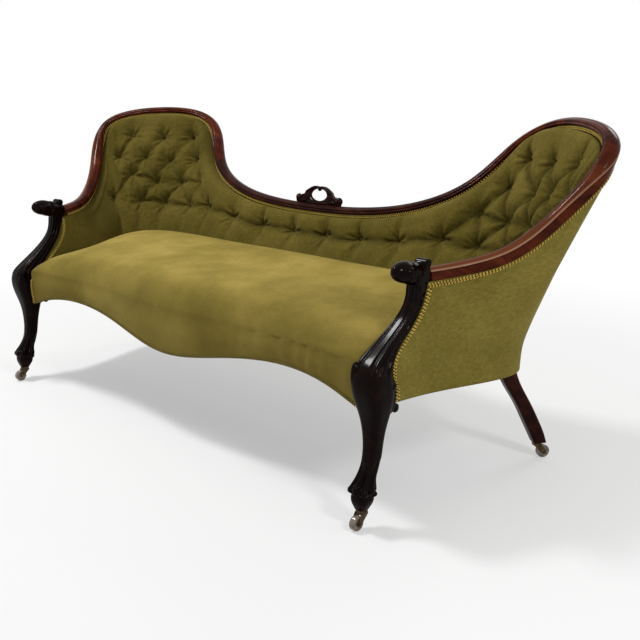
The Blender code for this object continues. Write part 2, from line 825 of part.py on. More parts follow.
def make_seat_frame():
    post = REAR_LINE[0][2] / 2 + CLEAR
    right_face = (REAR_POST + REAR_SIDE * post, REAR_SIDE)
    left_face = (REAR_POST - REAR_SIDE * post, REAR_SIDE)
    mirror_face = (mirrored(left_face[0]), mirrored(REAR_SIDE))
    gap = upright_places(REAR_CORNER)[2] - REAR_CORNER
    back = seat_rail(places_between(gap - REAR_CORNER, REAR_CORNER - gap), (mirror_face, left_face))
    place("back_seat_rail", mesh_of("back_seat_rail", loft(back)), BEECH)
    leg_face = (Vector((0, LEG_BACK, 0)), Vector((0, 1, 0)))
    side = seat_rail(places_between(REAR_CORNER + gap, ARM_END), (right_face, leg_face))
    mirrored_pair("side_seat_rail", mesh_of("side_seat_rail", loft(side)), BEECH)

    rings = []
    for x in FRONT_PLACES:
        near = front_y(x) + APRON_THICK + CLEAR
        far = near + FRONT_RAIL_THICK
        low = frame_low(x)
        rings.append([(x, near, low), (x, near, SEAT_RAIL_TOP), (x, far, SEAT_RAIL_TOP), (x, far, low)])
    place("front_seat_rail", mesh_of("front_seat_rail", loft(rings)), BEECH)

    high = SEAT_RAIL_TOP - UNDER_RISE
    behind = APRON_THICK + FRONT_RAIL_THICK + 3 * CLEAR
    corner = Vector((side_x(FRONT_Y) - INNER_INSET - CLEAR, 0))
    corner.y = front_y(corner.x) + behind
    along = corner.x - BLOCK_LEG
    rear_y = corner.y + BLOCK_LEG
    triangle = [tuple(corner), (side_x(rear_y) - INNER_INSET - CLEAR, rear_y), (along, front_y(along) + behind)]
    block = mesh_of("front_corner_block", prism(triangle, high - BLOCK_HEIGHT, high))
    mirrored_pair("front_corner_block", block, BEECH)
    outline = []
    for depth, way in ((REAR_BLOCK, -1), (0.0, -1), (0.0, 1), (REAR_BLOCK, 1)):
        line = REAR_POST - REAR_OUT * (REAR_LINE[0][2] / 2 + CLEAR + depth)
        u = REAR_CORNER
        while (base_point(u, INNER_INSET + 2 * CLEAR) - line).dot(REAR_OUT) > 0:
            u += way * SMALL
        outline.append(tuple(base_point(u, INNER_INSET + 2 * CLEAR).xy))
    block = mesh_of("rear_corner_block", prism(outline, high - BLOCK_HEIGHT, high))
    mirrored_pair("rear_corner_block", block, BEECH)


def make_uprights():
    for name, u in (("back_upright", BACK_UPRIGHT), ("spoon_upright", REAR_CORNER)):
        grids = []
        for depth in (UPRIGHT_DEPTH, UPRIGHT_DEPTH + UPRIGHT_THICK):
            grid = []
            for w in upright_places(u):
                foot = height_share(w, SEAT_RAIL_TOP + CLEAR)
                grid.append([inside(w, v, depth) for v in back_levels(foot)])
            grids.append(grid)
        mirrored_pair(name, mesh_of(name, slab(*grids)), BEECH)


def even_levels(u, low, split=1):
    """The levels at u from a height up, as many at every place of the back."""
    foot = height_share(u, low)
    most = max(len(back_levels(height_share(w, low), split)) for w in PLACES)
    levels = back_levels(foot, split)
    while len(levels) < most:
        levels.insert(1, (levels[0] + levels[1]) / 2)
    return levels


def back_sheet(depth, thick, low, inner):
    """A thin sheet that follows the back from arm to arm."""
    levels = [even_levels(u, low) for u in PLACES]
    if inner:
        levels = [row[:-1] + [inner_top(u)] for u, row in zip(PLACES, levels)]
    grids = []
    for d in (depth, depth + thick):
        grids.append([[inside(u, v, d) for v in row] for u, row in zip(PLACES, levels)])
    return slab(*grids)


def make_back_covers():
    cover = back_sheet(0.0, COVER_THICK, BASE_Z, False)
    place("outside_back_cover", mesh_of("outside_back_cover", cover), VELVET)
    sheet = back_sheet(HESSIAN_DEPTH, HESSIAN_THICK, SEAT_LOW + PAD_RISE, True)
    place("back_hessian", mesh_of("back_hessian", sheet), HESSIAN)


def close_end(bm, fine, coarse):
    """Faces between two columns of points that start and end side by side."""
    i = j = 0
    while i + 1 < len(fine) or j + 1 < len(coarse):
        ahead = j + 1 == len(coarse) or (i + 1 < len(fine) and fine[i + 1].co.z <= coarse[j + 1].co.z)
        if ahead:
            bm.faces.new((fine[i], fine[i + 1], coarse[j]))
            i += 1
        else:
            bm.faces.new((fine[i], coarse[j + 1], coarse[j]))
            j += 1


def tufting():
    """The buttons of the inside back, and the folds and pleats between pairs of points, as (u, v)."""
    buttons, folds = [], []
    for row in BUTTON_ROWS:
        for u, v, pleat in row:
            buttons.append((u, v))
            if pleat in ("rail", "both"):
                folds.append(((u, v), (u, inner_top(u))))
            if pleat in ("seat", "both"):
                folds.append(((u, v), (u, height_share(u, SEAT_LOW + PAD_RISE))))
    for upper, lower in zip(BUTTON_ROWS[:FOLDED_ROWS], BUTTON_ROWS[1:FOLDED_ROWS]):
        for i, (u, v, _) in enumerate(upper):
            folds += [((u, v), near[:2]) for near in lower[i : i + 2]]
    buttons += [(-u, v) for u, v in buttons]
    folds += [tuple((-u, v) for u, v in fold) for fold in folds]
    return buttons, folds


def make_back_pad():
    """The inside back, stuffed and deep-buttoned between the seat and the rail."""
    buttons, folds = tufting()
    pins = np.array([pad_surface(u, v) for u, v in buttons])
    starts = np.array([pad_surface(*a) for a, _ in folds])
    ways = np.array([pad_surface(*b) for _, b in folds]) - starts
    pleats = np.array([b not in buttons for _, b in folds])

    def tufted(u, v):
        """The stuffed surface, drawn in at the buttons and along the folds. A pleat fades towards the edge."""
        plain = np.array(pad_surface(u, v))
        along = np.clip(((plain - starts) * ways).sum(1) / (ways * ways).sum(1), 0, 1)
        away = np.linalg.norm(plain - starts - ways * along[:, None], axis=1)
        fold = (FOLD_DEPTH * np.exp(-((away / FOLD_REACH) ** 2)) * np.where(pleats, 1 - along, 1)).max()
        away = np.linalg.norm(plain - pins, axis=1).min()
        thick = pad_thickness(u, v)
        pull = min(BUTTON_DEPTH, thick - BUTTON_LEFT) * math.exp(-((away / BUTTON_REACH) ** 2))
        return inside(u, v, PAD_DEPTH + thick - max(fold, pull))

    columns = []
    for u in PLACES:
        levels = even_levels(u, SEAT_LOW + PAD_RISE)[:-1]
        columns.append([(u, v) for v in levels] + [(u, inner_top(u))])
    edge = [column[0] for column in columns[:-1]] + columns[-1][:-1]
    edge += [column[-1] for column in columns[:0:-1]] + columns[0][:0:-1]
    points = buttons + [tuple((np.array(a) + np.array(b)) / 2) for a, b in folds]
    for u, v in buttons:
        pace = (outside(u + SMALL, v) - outside(u - SMALL, v)).length / (2 * SMALL)
        points += [(u + TUFT_RING / pace, v), (u - TUFT_RING / pace, v)]
        points += [(u, v + TUFT_RING / back_height(u)), (u, v - TUFT_RING / back_height(u))]
    placed = np.array([pad_surface(u, v) for u, v in points])
    for u, v in [point for column in columns[1:-1] for point in column[1:-1]]:
        if np.linalg.norm(placed - np.array(pad_surface(u, v)), axis=1).min() > TUFT_CLEAR:
            points.append((u, v))
    chart = [Vector((u / ARM_END, v)) for u, v in edge + points]
    _, _, facets, kept, _, _ = delaunay_2d_cdt(chart, [], [list(range(len(edge)))], 1, SMALL / 100)
    front = [tufted(*(edge + points)[found[0]]) for found in kept]

    def build(bm):
        stuffed = [bm.verts.new(p) for p in front]
        for facet in facets:
            bm.faces.new([stuffed[k] for k in facet])
        at = {found[0]: vert for found, vert in zip(kept, stuffed)}
        rim = {uv: at[k] for k, uv in enumerate(edge)}
        back = []
        for u in PLACES:
            levels = even_levels(u, SEAT_LOW + PAD_RISE)[:-1] + [inner_top(u)]
            back.append([bm.verts.new(inside(u, v, PAD_DEPTH)) for v in levels])
        for i in range(len(PLACES) - 1):
            near, far = back[i], back[i + 1]
            for j in range(len(near) - 1):
                bm.faces.new((near[j], far[j], far[j + 1], near[j + 1]))
            top, next_top = rim[columns[i][-1]], rim[columns[i + 1][-1]]
            bm.faces.new((top, next_top, far[-1], near[-1]))
            bm.faces.new((rim[columns[i][0]], rim[columns[i + 1][0]], far[0], near[0]))
        for i in (0, -1):
            close_end(bm, [rim[point] for point in columns[i]], back[i])

    place("back_pad", mesh_of("back_pad", build), VELVET)


def seat_ring(z):
    """Plan of the stuffed seat at a height: front, right side, round the back, left side."""
    ring = [Vector((x, front_y(x), z)) for x in FRONT_PLACES] + [Vector((SEAT_HALF, LEG_BACK, z))]
    for u in reversed(PLACES):
        v = height_share(u, z)
        face = pad_surface(u, v) - way_out(u, v) * SEAT_GAP
        ring.append(Vector((face.x, face.y, z)))
    return ring + [Vector((-SEAT_HALF, LEG_BACK, z))]


def make_seat_pad():
    edge = seat_ring(SEAT_LOW + SEAT_EDGE)
    middle = (FRONT_Y + BASE_LINE[0][1] - PAD_DEPTH - PAD_SEAT) / 2
    rings = [seat_ring(SEAT_LOW)]
    for share, rise in SEAT_DOME:
        ring = []
        for p in edge:
            back_rise = SEAT_BACK_RISE * smooth_step((p.y - FRONT_Y) / (BASE_LINE[0][1] - FRONT_Y))
            x, y = p.x * share, middle + (p.y - middle) * share
            ring.append((x, y, p.z + back_rise * share + SEAT_CROWN * rise))
        rings.append(ring)
    seat = place("seat_pad", mesh_of("seat_pad", loft(rings)), VELVET)
    strip = []
    for x in FRONT_PLACES:
        near, far = front_y(x), front_y(x) + APRON_THICK
        low, high = apron_low(x), SEAT_LOW + SEAT_EDGE / 2
        strip.append([(x, near, low), (x, near, high), (x, far, high), (x, far, low)])
    combine(seat, helper("apron", mesh_of("apron", loft(strip))), "UNION")


def web_top(x, y):
    """Height of the webbing, which is tacked under the rails of the seat frame."""
    front = front_y(x) + APRON_THICK + FRONT_RAIL_THICK + 2 * CLEAR
    back = BASE_LINE[0][1] - INNER_INSET
    share = min(max((y - front) / (back - front), 0.0), 1.0)
    low = frame_low(x) if abs(x) < SEAT_HALF - CLEAR else SIDE_LOW
    return low + (SIDE_LOW - low) * share - CLEAR


def make_seat_hessian():
    outline = [(x, front_y(x) + APRON_THICK + 2 * CLEAR) for x in FRONT_PLACES]
    corner = (SEAT_HALF, LEG_BACK)
    around = [tuple(base_point(u, PAD_DEPTH).xy) for u in reversed(PLACES)]
    outline += [corner, *around, (-corner[0], corner[1])]
    low = SEAT_RAIL_TOP + CLEAR
    place("seat_hessian", mesh_of("seat_hessian", prism(outline, low, low + HESSIAN_THICK)), HESSIAN)


def under_grid(rows, drop):
    """Points under the seat frame: a column at each strap edge and both sides, and rows between the rails."""
    grid = []
    columns = ["left tack", "left rail", *STRAP_EDGES, "right rail", "right tack"]
    for x in columns:
        column = []
        for k in range(-2, len(rows) + 2):
            at_x = x
            y = rows[min(max(k, 0), len(rows) - 1)]
            if isinstance(x, str):
                inset = WEB_TACK + RAIL_INSET if "tack" in x else INNER_INSET
                at_x = (side_x(y) - inset) * (-1 if "left" in x else 1)
            if k < 0:
                y = front_y(at_x) + APRON_THICK + (WEB_TACK if k == -2 else FRONT_RAIL_THICK + 2 * CLEAR)
            elif k >= len(rows):
                y = BASE_LINE[0][1] - (INNER_INSET if k == len(rows) else RAIL_INSET + WEB_TACK)
            column.append((at_x, y, web_top(at_x, y) - drop))
        grid.append(column)
    return grid


def net(grid, thick, wanted):
    """A flat body of the wanted cells of a grid."""

    def build(bm):
        made = {}

        def corner(i, j):
            if (i, j) not in made:
                made[i, j] = bm.verts.new(grid[i][j])
            return made[i, j]

        for i in range(len(grid) - 1):
            for j in range(len(grid[0]) - 1):
                if wanted(i, j):
                    bm.faces.new((corner(i, j), corner(i + 1, j), corner(i + 1, j + 1), corner(i, j + 1)))
        lower = bmesh.ops.extrude_face_region(bm, geom=bm.faces[:], use_keep_orig=True)["geom"]
        moved = [v for v in lower if isinstance(v, bmesh.types.BMVert)]
        bmesh.ops.translate(bm, verts=moved, vec=(0, 0, -thick))

    return build


def make_webbing():
    """Straps woven both ways under the frame, and the cloth that hides them."""
    edges = [y + side * WEB_STRAP / 2 for y in WEB_ROWS for side in (-1, 1)]
    across = range(2, 2 + len(STRAP_EDGES), 2)
    along = range(2, 2 + len(edges), 2)
    straps = net(under_grid(edges, 0.0), WEB_THICK, lambda i, j: i in across or j in along)
    place("seat_webbing", mesh_of("seat_webbing", straps), HESSIAN)
    grid = under_grid(edges, WEB_THICK + CLEAR)
    middle = range(2, 1 + len(STRAP_EDGES))
    inner = range(2, 1 + len(edges))
    cloth = net(grid, CLOTH_THICK, lambda i, j: i in middle or j in inner)
    place("bottom_cloth", mesh_of("bottom_cloth", cloth), CLOTH)


def make_springs():
    """Waisted coils that stand on the webbing under the seat hessian."""
    number = 0
    for y in SPRING_ROWS:
        for x in SPRING_COLUMNS:
            number += 1
            reach = SPRING_RADIUS + SPRING_WIRE
            rim = [web_top(x + a * reach, y + b * reach) for a in (-1, 0, 1) for b in (-1, 0, 1)]
            low = max(rim) + CLEAR + SPRING_WIRE
            high = SEAT_RAIL_TOP - SPRING_WIRE
            curve = bpy.data.curves.new(f"seat_spring_{number:02d}", "CURVE")
            curve.dimensions = "3D"
            curve.bevel_depth = SPRING_WIRE
            curve.bevel_resolution = 0
            curve.use_fill_caps = True
            spline = curve.splines.new("POLY")
            count = SPRING_TURNS * SPRING_STEPS
            spline.points.add(count)
            for k in range(count + 1):
                turn = k / SPRING_STEPS
                rise = min(max((turn - SPRING_END_TURN) / (SPRING_TURNS - 2 * SPRING_END_TURN), 0.0), 1.0)
                waist = 1 - abs(2 * rise - 1) ** 2
                radius = SPRING_RADIUS + (SPRING_WAIST - SPRING_RADIUS) * waist
                angle = 2 * math.pi * turn
                start = min(turn / SPRING_END_TURN, 1.0)
                finish = max((turn - SPRING_TURNS) / SPRING_END_TURN + 1, 0.0)
                z = low + SPRING_END_LIFT * (start + finish) + (high - low - 2 * SPRING_END_LIFT) * rise
                point = (x + radius * math.cos(angle), y + radius * math.sin(angle), z, 1.0)
                spline.points[k].co = point
            curve.materials.append(material(STEEL))
            spring = bpy.data.objects.new(f"seat_spring_{number:02d}", curve)
            bpy.context.scene.collection.objects.link(spring)


def make_gimp():
    outer, inner = [], []
    top, face = REBATE_TOP * RAIL_HEIGHT / 2 + GIMP_GAP, REBATE_FACE * RAIL_THICK / 2 - GIMP_GAP
    strip = [(top, face), (top + GIMP_WIDTH, face)]
    strip += [(d, n - GIMP_THICK) for d, n in reversed(strip)]
    for u in PLACES:
        pace = (outside(u, 1.0) - outside(u, 0.9)).length / 0.1
        high, low = 1 - CLEAR / pace, 1 - (GIMP_WIDTH + CLEAR) / pace
        near, far = -CLEAR, -CLEAR - GIMP_THICK
        outer.append([inside(u, high, near), inside(u, low, near), inside(u, low, far), inside(u, high, far)])
        inner.append(rail_ring(u, strip))
    for end in (0, -1):
        inner[end] = cut_at_scroll(inner[end])
    place("gimp_outer_rail", mesh_of("gimp_outer_rail", loft(outer)), BRAID)
    place("gimp_inner_rail", mesh_of("gimp_inner_rail", loft(inner)), BRAID)

    front = []
    for x in FRONT_PLACES:
        low = apron_low(x) + CLEAR
        near, far = front_y(x) - CLEAR, front_y(x) - CLEAR - GIMP_THICK
        front.append(
            [(x, near, low), (x, near, low + GIMP_WIDTH), (x, far, low + GIMP_WIDTH), (x, far, low)]
        )
    place("gimp_front", mesh_of("gimp_front", loft(front)), BRAID)

    rings = []
    pace = (outside(ARM_END, 1.0) - outside(ARM_END, 0.9)).length / 0.1
    top = 1 - (GIMP_WIDTH + 3 * CLEAR) / pace
    first, last = PLACES[-2], PLACES[-1]
    for v in [level for level in back_levels(0.0, ARM_GIMP_SPLIT) if level < top - SMALL] + [top]:
        edge, back = inside(last, v, 0.0), inside(first, v, 0.0)
        run = (back - edge) / (back - edge).length
        near, far = Vector((CLEAR, 0, 0)), Vector((CLEAR + GIMP_THICK, 0, 0))
        wide = edge + run * GIMP_WIDTH
        rings.append([edge + near, wide + near, wide + far, edge + far])
    mirrored_pair("gimp_arm", mesh_of("gimp_arm", loft(rings)), BRAID)


def castor_meshes():
    """The plate with its riveted pintle, the horn, the wheel and the axle pin."""
    top = CASTOR_HEIGHT - PLATE_THICK
    crown_top = top - CLEAR
    crown_low = crown_top - CROWN_HEIGHT
    head = crown_low - CLEAR
    plate = [
        (0, CASTOR_HEIGHT),
        (PLATE_RADIUS, CASTOR_HEIGHT),
        (PLATE_RADIUS, top),
        (PINTLE_RADIUS, top),
        (PINTLE_RADIUS, head),
        (PINTLE_HEAD, head),
        (PINTLE_HEAD, head - PLATE_THICK),
        (0, head - PLATE_THICK),
    ]
    boss = (-CASTOR_TRAIL, WHEEL_RADIUS)
    cheek_top = crown_top - CROWN_HEIGHT / 4
    cheek = [(CROWN_RADIUS - FORK_CHEEK, cheek_top), (CROWN_RADIUS - FORK_CHEEK, crown_low)]
    for step in range(6):
        angle = math.radians(-30 - 36 * step)
        cheek.append((boss[0] + FORK_BOSS * math.cos(angle), boss[1] + FORK_BOSS * math.sin(angle)))
    cheek.append((FORK_CHEEK - CROWN_RADIUS, cheek_top))
    crown_centre = (0, 0, crown_top - CROWN_HEIGHT / 2)
    crown = drum(CROWN_RADIUS, CROWN_HEIGHT, ROLL_SIDES, crown_centre, (0, 0, 1))
    fork = place("fork_blank", mesh_of("crown", crown), BRASS)
    near = WHEEL_WIDTH / 2 + FORK_GAP
    for name, side in (("left", -1), ("right", 1)):
        rings = [[(side * x, y, z) for y, z in cheek] for x in (near, near + FORK_CHEEK)]
        combine(fork, helper("cheek_" + name, mesh_of("cheek", loft(rings))), "UNION")
    bore = drum(PINTLE_RADIUS + CLEAR, 4 * CROWN_HEIGHT, PIN_SIDES, crown_centre, (0, 0, 1))
    combine(fork, helper("pintle_bore", mesh_of("bore", bore)), "DIFFERENCE")
    axle_length = 2 * (near + FORK_CHEEK + AXLE_PROUD)
    bore = drum(AXLE_RADIUS + CLEAR, 2 * axle_length, PIN_SIDES, (0, *boss), (1, 0, 0))
    combine(fork, helper("axle_bore", mesh_of("bore", bore)), "DIFFERENCE")

    reach = WHEEL_RADIUS / math.cos(math.pi / WHEEL_SIDES)
    bore, half = AXLE_RADIUS + 2 * CLEAR, WHEEL_WIDTH / 2
    rim = [
        (bore, half),
        (reach - WHEEL_ROUND, half),
        (reach, half - WHEEL_ROUND),
    ]
    wheel = rim + [(r, -h) for r, h in reversed(rim)]
    return (
        mesh_of("castor_plate", turned(plate, PIN_SIDES, (0, 0, 1))),
        settled_mesh(fork),
        mesh_of("castor_wheel", turned(wheel, WHEEL_SIDES, (1, 0, 0))),
        mesh_of("castor_axle", drum(AXLE_RADIUS, axle_length, PIN_SIDES, (0, 0, 0), (1, 0, 0))),
    )


def make_castors():
    plate_mesh, fork_mesh, wheel_mesh, axle_mesh = castor_meshes()
    front = Vector((LEG_X, LEG_LINE[-1][0], 0))
    rear = REAR_POST + REAR_OUT * (REAR_LINE[-1][0] - REAR_CASTOR_INSET)
    corners = (("front", front, Vector((0, -1, 0))), ("rear", Vector((*rear.xy, 0)), REAR_OUT))
    for end, at, trail in corners:
        for side, sign in (("right", 1), ("left", -1)):
            corner = f"{end}_{side}"
            where = Vector((sign * at.x, at.y, 0))
            swivel = bpy.data.objects.new("castor_swivel_" + corner, None)
            bpy.context.scene.collection.objects.link(swivel)
            swivel.location = where
            swivel.rotation_euler.z = math.atan2(sign * trail.x, -trail.y)
            place("castor_plate_" + corner, plate_mesh, BRASS).location = where
            place("castor_fork_" + corner, fork_mesh, BRASS).parent = swivel
            for name, mesh, finish in (("wheel", wheel_mesh, CERAMIC), ("axle", axle_mesh, BRASS)):
                piece = place(f"castor_{name}_{corner}", mesh, finish)
                piece.parent = swivel
                piece.location = (0, -CASTOR_TRAIL, WHEEL_RADIUS)
                if name == "wheel":
                    piece.rotation_euler.x = math.pi / WHEEL_SIDES


for old in list(bpy.data.objects):
    bpy.data.objects.remove(old)
make_front_legs()
make_rear_legs()
make_seat_frame()
make_webbing()
make_springs()
make_seat_hessian()
make_seat_pad()
make_uprights()
make_back_covers()
make_back_pad()
make_rail()
make_crest()
make_gimp()
make_castors()
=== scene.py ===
"""Looks of the double spoon-back settee: polished mahogany, buttoned olive velvet and old gold gimp.

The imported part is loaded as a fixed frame. Each section then dresses one piece or group of pieces, in the
order in which the settee is put together. Units are metres, +Z is up and the sitter faces -Y.
"""

import json
import math

import bmesh
import bpy
import numpy as np
from mathutils import Matrix, Vector

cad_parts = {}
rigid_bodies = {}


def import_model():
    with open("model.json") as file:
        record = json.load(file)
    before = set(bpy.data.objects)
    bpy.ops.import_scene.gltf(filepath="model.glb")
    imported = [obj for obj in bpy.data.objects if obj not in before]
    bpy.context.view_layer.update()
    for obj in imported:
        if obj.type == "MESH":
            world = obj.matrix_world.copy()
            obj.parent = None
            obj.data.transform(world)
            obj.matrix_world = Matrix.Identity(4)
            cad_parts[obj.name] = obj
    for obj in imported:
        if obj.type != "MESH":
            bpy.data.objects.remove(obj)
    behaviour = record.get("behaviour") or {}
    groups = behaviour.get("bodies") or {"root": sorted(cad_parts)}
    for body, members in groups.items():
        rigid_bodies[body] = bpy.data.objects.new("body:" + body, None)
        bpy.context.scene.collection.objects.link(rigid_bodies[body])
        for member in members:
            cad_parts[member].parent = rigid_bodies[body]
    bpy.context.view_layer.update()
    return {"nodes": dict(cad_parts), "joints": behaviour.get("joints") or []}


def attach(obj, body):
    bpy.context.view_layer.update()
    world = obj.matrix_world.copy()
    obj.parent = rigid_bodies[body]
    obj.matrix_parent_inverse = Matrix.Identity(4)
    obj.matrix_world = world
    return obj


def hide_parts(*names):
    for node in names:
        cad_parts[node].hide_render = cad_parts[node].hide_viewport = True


for leftover in list(bpy.data.objects):
    bpy.data.objects.remove(leftover)
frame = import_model()
bpy.ops.object.select_all(action="DESELECT")


# Seat frame, corner blocks and back uprights. They are sawn from plain beech, glued and dowelled, and the
# upholstery hides them from every side.
class Wire:
    """A socket of a material. Arithmetic on it adds Math nodes, and add() makes any other node."""

    def __init__(self, tree, socket):
        self.tree, self.socket = tree, socket

    def add(self, kind, inputs=(), output=0, stops=(), **settings):
        node = self.tree.nodes.new(kind)
        for name, value in settings.items():
            setattr(node, name, value)
        while stops and len(node.color_ramp.elements) < len(stops):
            node.color_ramp.elements.new(1.0)
        for element, (place, colour) in zip(node.color_ramp.elements if stops else (), stops):
            element.position, element.color = place, (*colour, 1.0)
        for key, value in dict(inputs).items():
            if isinstance(value, Wire):
                self.tree.links.new(value.socket, node.inputs[key])
            else:
                node.inputs[key].default_value = value
        return Wire(self.tree, node.outputs[output])

    def math(self, operation, other=0.0):
        return self.add("ShaderNodeMath", {0: self, 1: other}, operation=operation)

    def __add__(self, other):
        return self.math("ADD", other)

    def __mul__(self, other):
        return self.math("MULTIPLY", other)

    def noise(self, scale, detail=3.0, roughness=0.55, distortion=0.0, stretch=(1, 1, 1), turn=(0, 0, 0)):
        """Noise over this vector with scale features in a metre, drawn out along turned axes by stretch."""
        axes = {"Vector": self, "Scale": stretch, "Rotation": [math.radians(a) for a in turn]}
        placed = self.add("ShaderNodeMapping", axes, vector_type="TEXTURE")
        values = {"Scale": scale, "Detail": detail, "Roughness": roughness, "Distortion": distortion}
        return self.add("ShaderNodeTexNoise", {"Vector": placed, **values})

    def ramp(self, *stops):
        return self.add("ShaderNodeValToRGB", {"Fac": self}, stops=stops)

    def between(self, low, high):
        """This value from low to high as 0 to 1, smoothly."""
        ends = {"Value": self, "From Min": low, "From Max": high}
        return self.add("ShaderNodeMapRange", ends, interpolation_type="SMOOTHSTEP")

    def tint(self, first, second):
        """A mix of two colours by this value. A Mix node's colours are its sockets 6 and 7."""
        return self.add("ShaderNodeMix", {0: self, 6: first, 7: second}, output=2, data_type="RGBA")

    def bump(self, strength, distance):
        return self.add("ShaderNodeBump", {"Height": self, "Strength": strength, "Distance": distance})


class Finish:
    """A Principled material: constants go to its sockets, and what varies is linked."""

    def __init__(self, name, **constants):
        self.material = bpy.data.materials.new(name)
        self.material.use_nodes = True
        self.tree = self.material.node_tree
        self.shader = self.tree.nodes["Principled BSDF"]
        for key, value in constants.items():
            self.socket(key).default_value = value
        self.place = Wire(self.tree, self.tree.nodes.new("ShaderNodeTexCoord").outputs["Object"])

    def socket(self, key):
        return self.shader.inputs[key.replace("_", " ").title().replace("Ior", "IOR")]

    def attribute(self, name):
        return self.place.add("ShaderNodeAttribute", output="Fac", attribute_name=name)

    def drive(self, **sockets):
        for key, wire in sockets.items():
            self.tree.links.new(wire.socket, self.socket(key))

    def on(self, *pieces):
        for piece in pieces:
            piece.data.materials.clear()
            piece.data.materials.append(self.material)


def both(*names):
    return [name + side for name in names for side in ("_left", "_right")]


def cad(names):
    return [frame["nodes"][name] for name in names]


beech = Finish("beech")
grain = beech.place.noise(34, 6, 0.6, 0.8, stretch=(8, 1, 1))
flecks = beech.place.noise(420, 2, 0.5, stretch=(5, 1, 1))
beech.drive(
    base_color=(grain * 0.8 + flecks * 0.2).ramp((0.3, (0.33, 0.19, 0.1)), (0.72, (0.5, 0.33, 0.19))),
    roughness=grain * 0.25 + 0.5,
    normal=flecks.bump(0.25, 0.0004),
)
beech.on(*cad(["front_seat_rail", "back_seat_rail"]))
beech.on(*cad(both("side_seat_rail", "front_corner_block", "rear_corner_block")))
beech.on(*cad(both("back_upright", "spoon_upright")))


# Webbing and hessian. Jute straps are tacked under the frame, and coarse jute cloth is tied over the
# springs and stretched over the back; all of it is loosely woven and dusty brown.
JUTE_THREAD = 0.0016
jute = Finish("jute", roughness=0.95)


def weave(wire, pitch):
    """Height of a plain weave of threads along X and Y."""
    waves = []
    for axis in (0, 1):
        along = wire.add("ShaderNodeSeparateXYZ", {"Vector": wire}, output=axis)
        waves.append((along * (2 * math.pi / pitch)).math("SINE"))
    return waves[0] * waves[1] * 0.5 + 0.5


thread = weave(jute.place, JUTE_THREAD)
dusty = jute.place.noise(26, 4)
jute.drive(
    base_color=(thread * 0.5 + dusty * 0.5).ramp((0.25, (0.2, 0.13, 0.065)), (0.8, (0.4, 0.29, 0.165))),
    normal=thread.bump(0.6, 0.0006),
)
jute.on(*cad(["seat_webbing", "seat_hessian", "back_hessian"]))


# Seat springs and the bottom cloth. Waisted coils of coppered wire stand on the webbing, and a thin black
# cotton is tacked under everything to keep the dust in.
COTTON_THREAD = 0.0009
coppered = Finish("spring_wire", metallic=1.0)
tarnish = coppered.place.noise(160, 3)
coppered.drive(
    base_color=tarnish.ramp((0.35, (0.16, 0.12, 0.1)), (0.7, (0.42, 0.36, 0.32))),
    roughness=tarnish * 0.4 + 0.25,
)
coppered.on(*cad([name for name in frame["nodes"] if name.startswith("seat_spring")]))
cotton = Finish("black_cotton", roughness=0.95)
faded = cotton.place.noise(9, 4)
cotton.drive(
    base_color=faded.ramp((0.3, (0.01, 0.01, 0.011)), (0.75, (0.028, 0.026, 0.025))),
    normal=weave(cotton.place, COTTON_THREAD).bump(0.4, 0.0003),
)
cotton.on(*cad(["bottom_cloth"]))


# Line of the back. A moulded rail runs over the back from arm to arm, and the outside of the back falls
# from it to the foot of the seat frame. Every piece of the back takes its place from these two lines.
RAIL_LINE = (
    (0.000, 0.270, 0.604), (0.200, 0.266, 0.612), (0.396, 0.281, 0.644), (0.557, 0.329, 0.719),
    (0.658, 0.393, 0.827), (0.775, 0.392, 0.886), (0.910, 0.310, 0.895), (1.020, 0.213, 0.872),
    (1.045, 0.135, 0.807), (0.976, 0.061, 0.693), (0.905, -0.020, 0.612), (0.838, -0.108, 0.580),
    (0.798, -0.190, 0.571),
)
FOOT_LINE = (
    (0.000, 0.222), (0.200, 0.222), (0.390, 0.222), (0.540, 0.223), (0.655, 0.224),
    (0.748, 0.213), (0.826, 0.177), (0.871, 0.116), (0.880, 0.053), (0.866, -0.020),
    (0.839, -0.105), (0.812, -0.205), (0.797, -0.312),
)
FOOT_Z = 0.285
LEAN_Z = 0.35
LEAN_ROUND = 0.04
ARM_END = len(RAIL_LINE) - 1
SPOON_JOINT, ARM_JOINT = 3.0, 8.5
RAIL_HIGH, RAIL_DEEP = 0.034, 0.042
RAIL_GAP = 0.0018
COVER_SETBACK = 0.003
ARM_BLEND = 2.0
LEG_GAP = 0.0032
LEG_X = 0.785
LEG_SPLAY, SPLAY_LOW, SPLAY_RISE = 0.012, 0.4, 0.14
LEG_LINE = (
    (-0.224, 0.575, 0.036, 0.036), (-0.227, 0.535, 0.033, 0.032), (-0.238, 0.500, 0.034, 0.033),
    (-0.262, 0.468, 0.039, 0.041), (-0.291, 0.440, 0.046, 0.050), (-0.324, 0.411, 0.056, 0.060),
    (-0.350, 0.382, 0.067, 0.071), (-0.357, 0.345, 0.076, 0.077), (-0.351, 0.305, 0.072, 0.073),
    (-0.348, 0.265, 0.056, 0.056), (-0.350, 0.220, 0.041, 0.042), (-0.354, 0.175, 0.036, 0.037),
    (-0.365, 0.137, 0.037, 0.039), (-0.380, 0.110, 0.042, 0.046), (-0.386, 0.090, 0.046, 0.050),
    (-0.386, 0.070, 0.041, 0.044), (-0.388, 0.047, 0.030, 0.030),
)


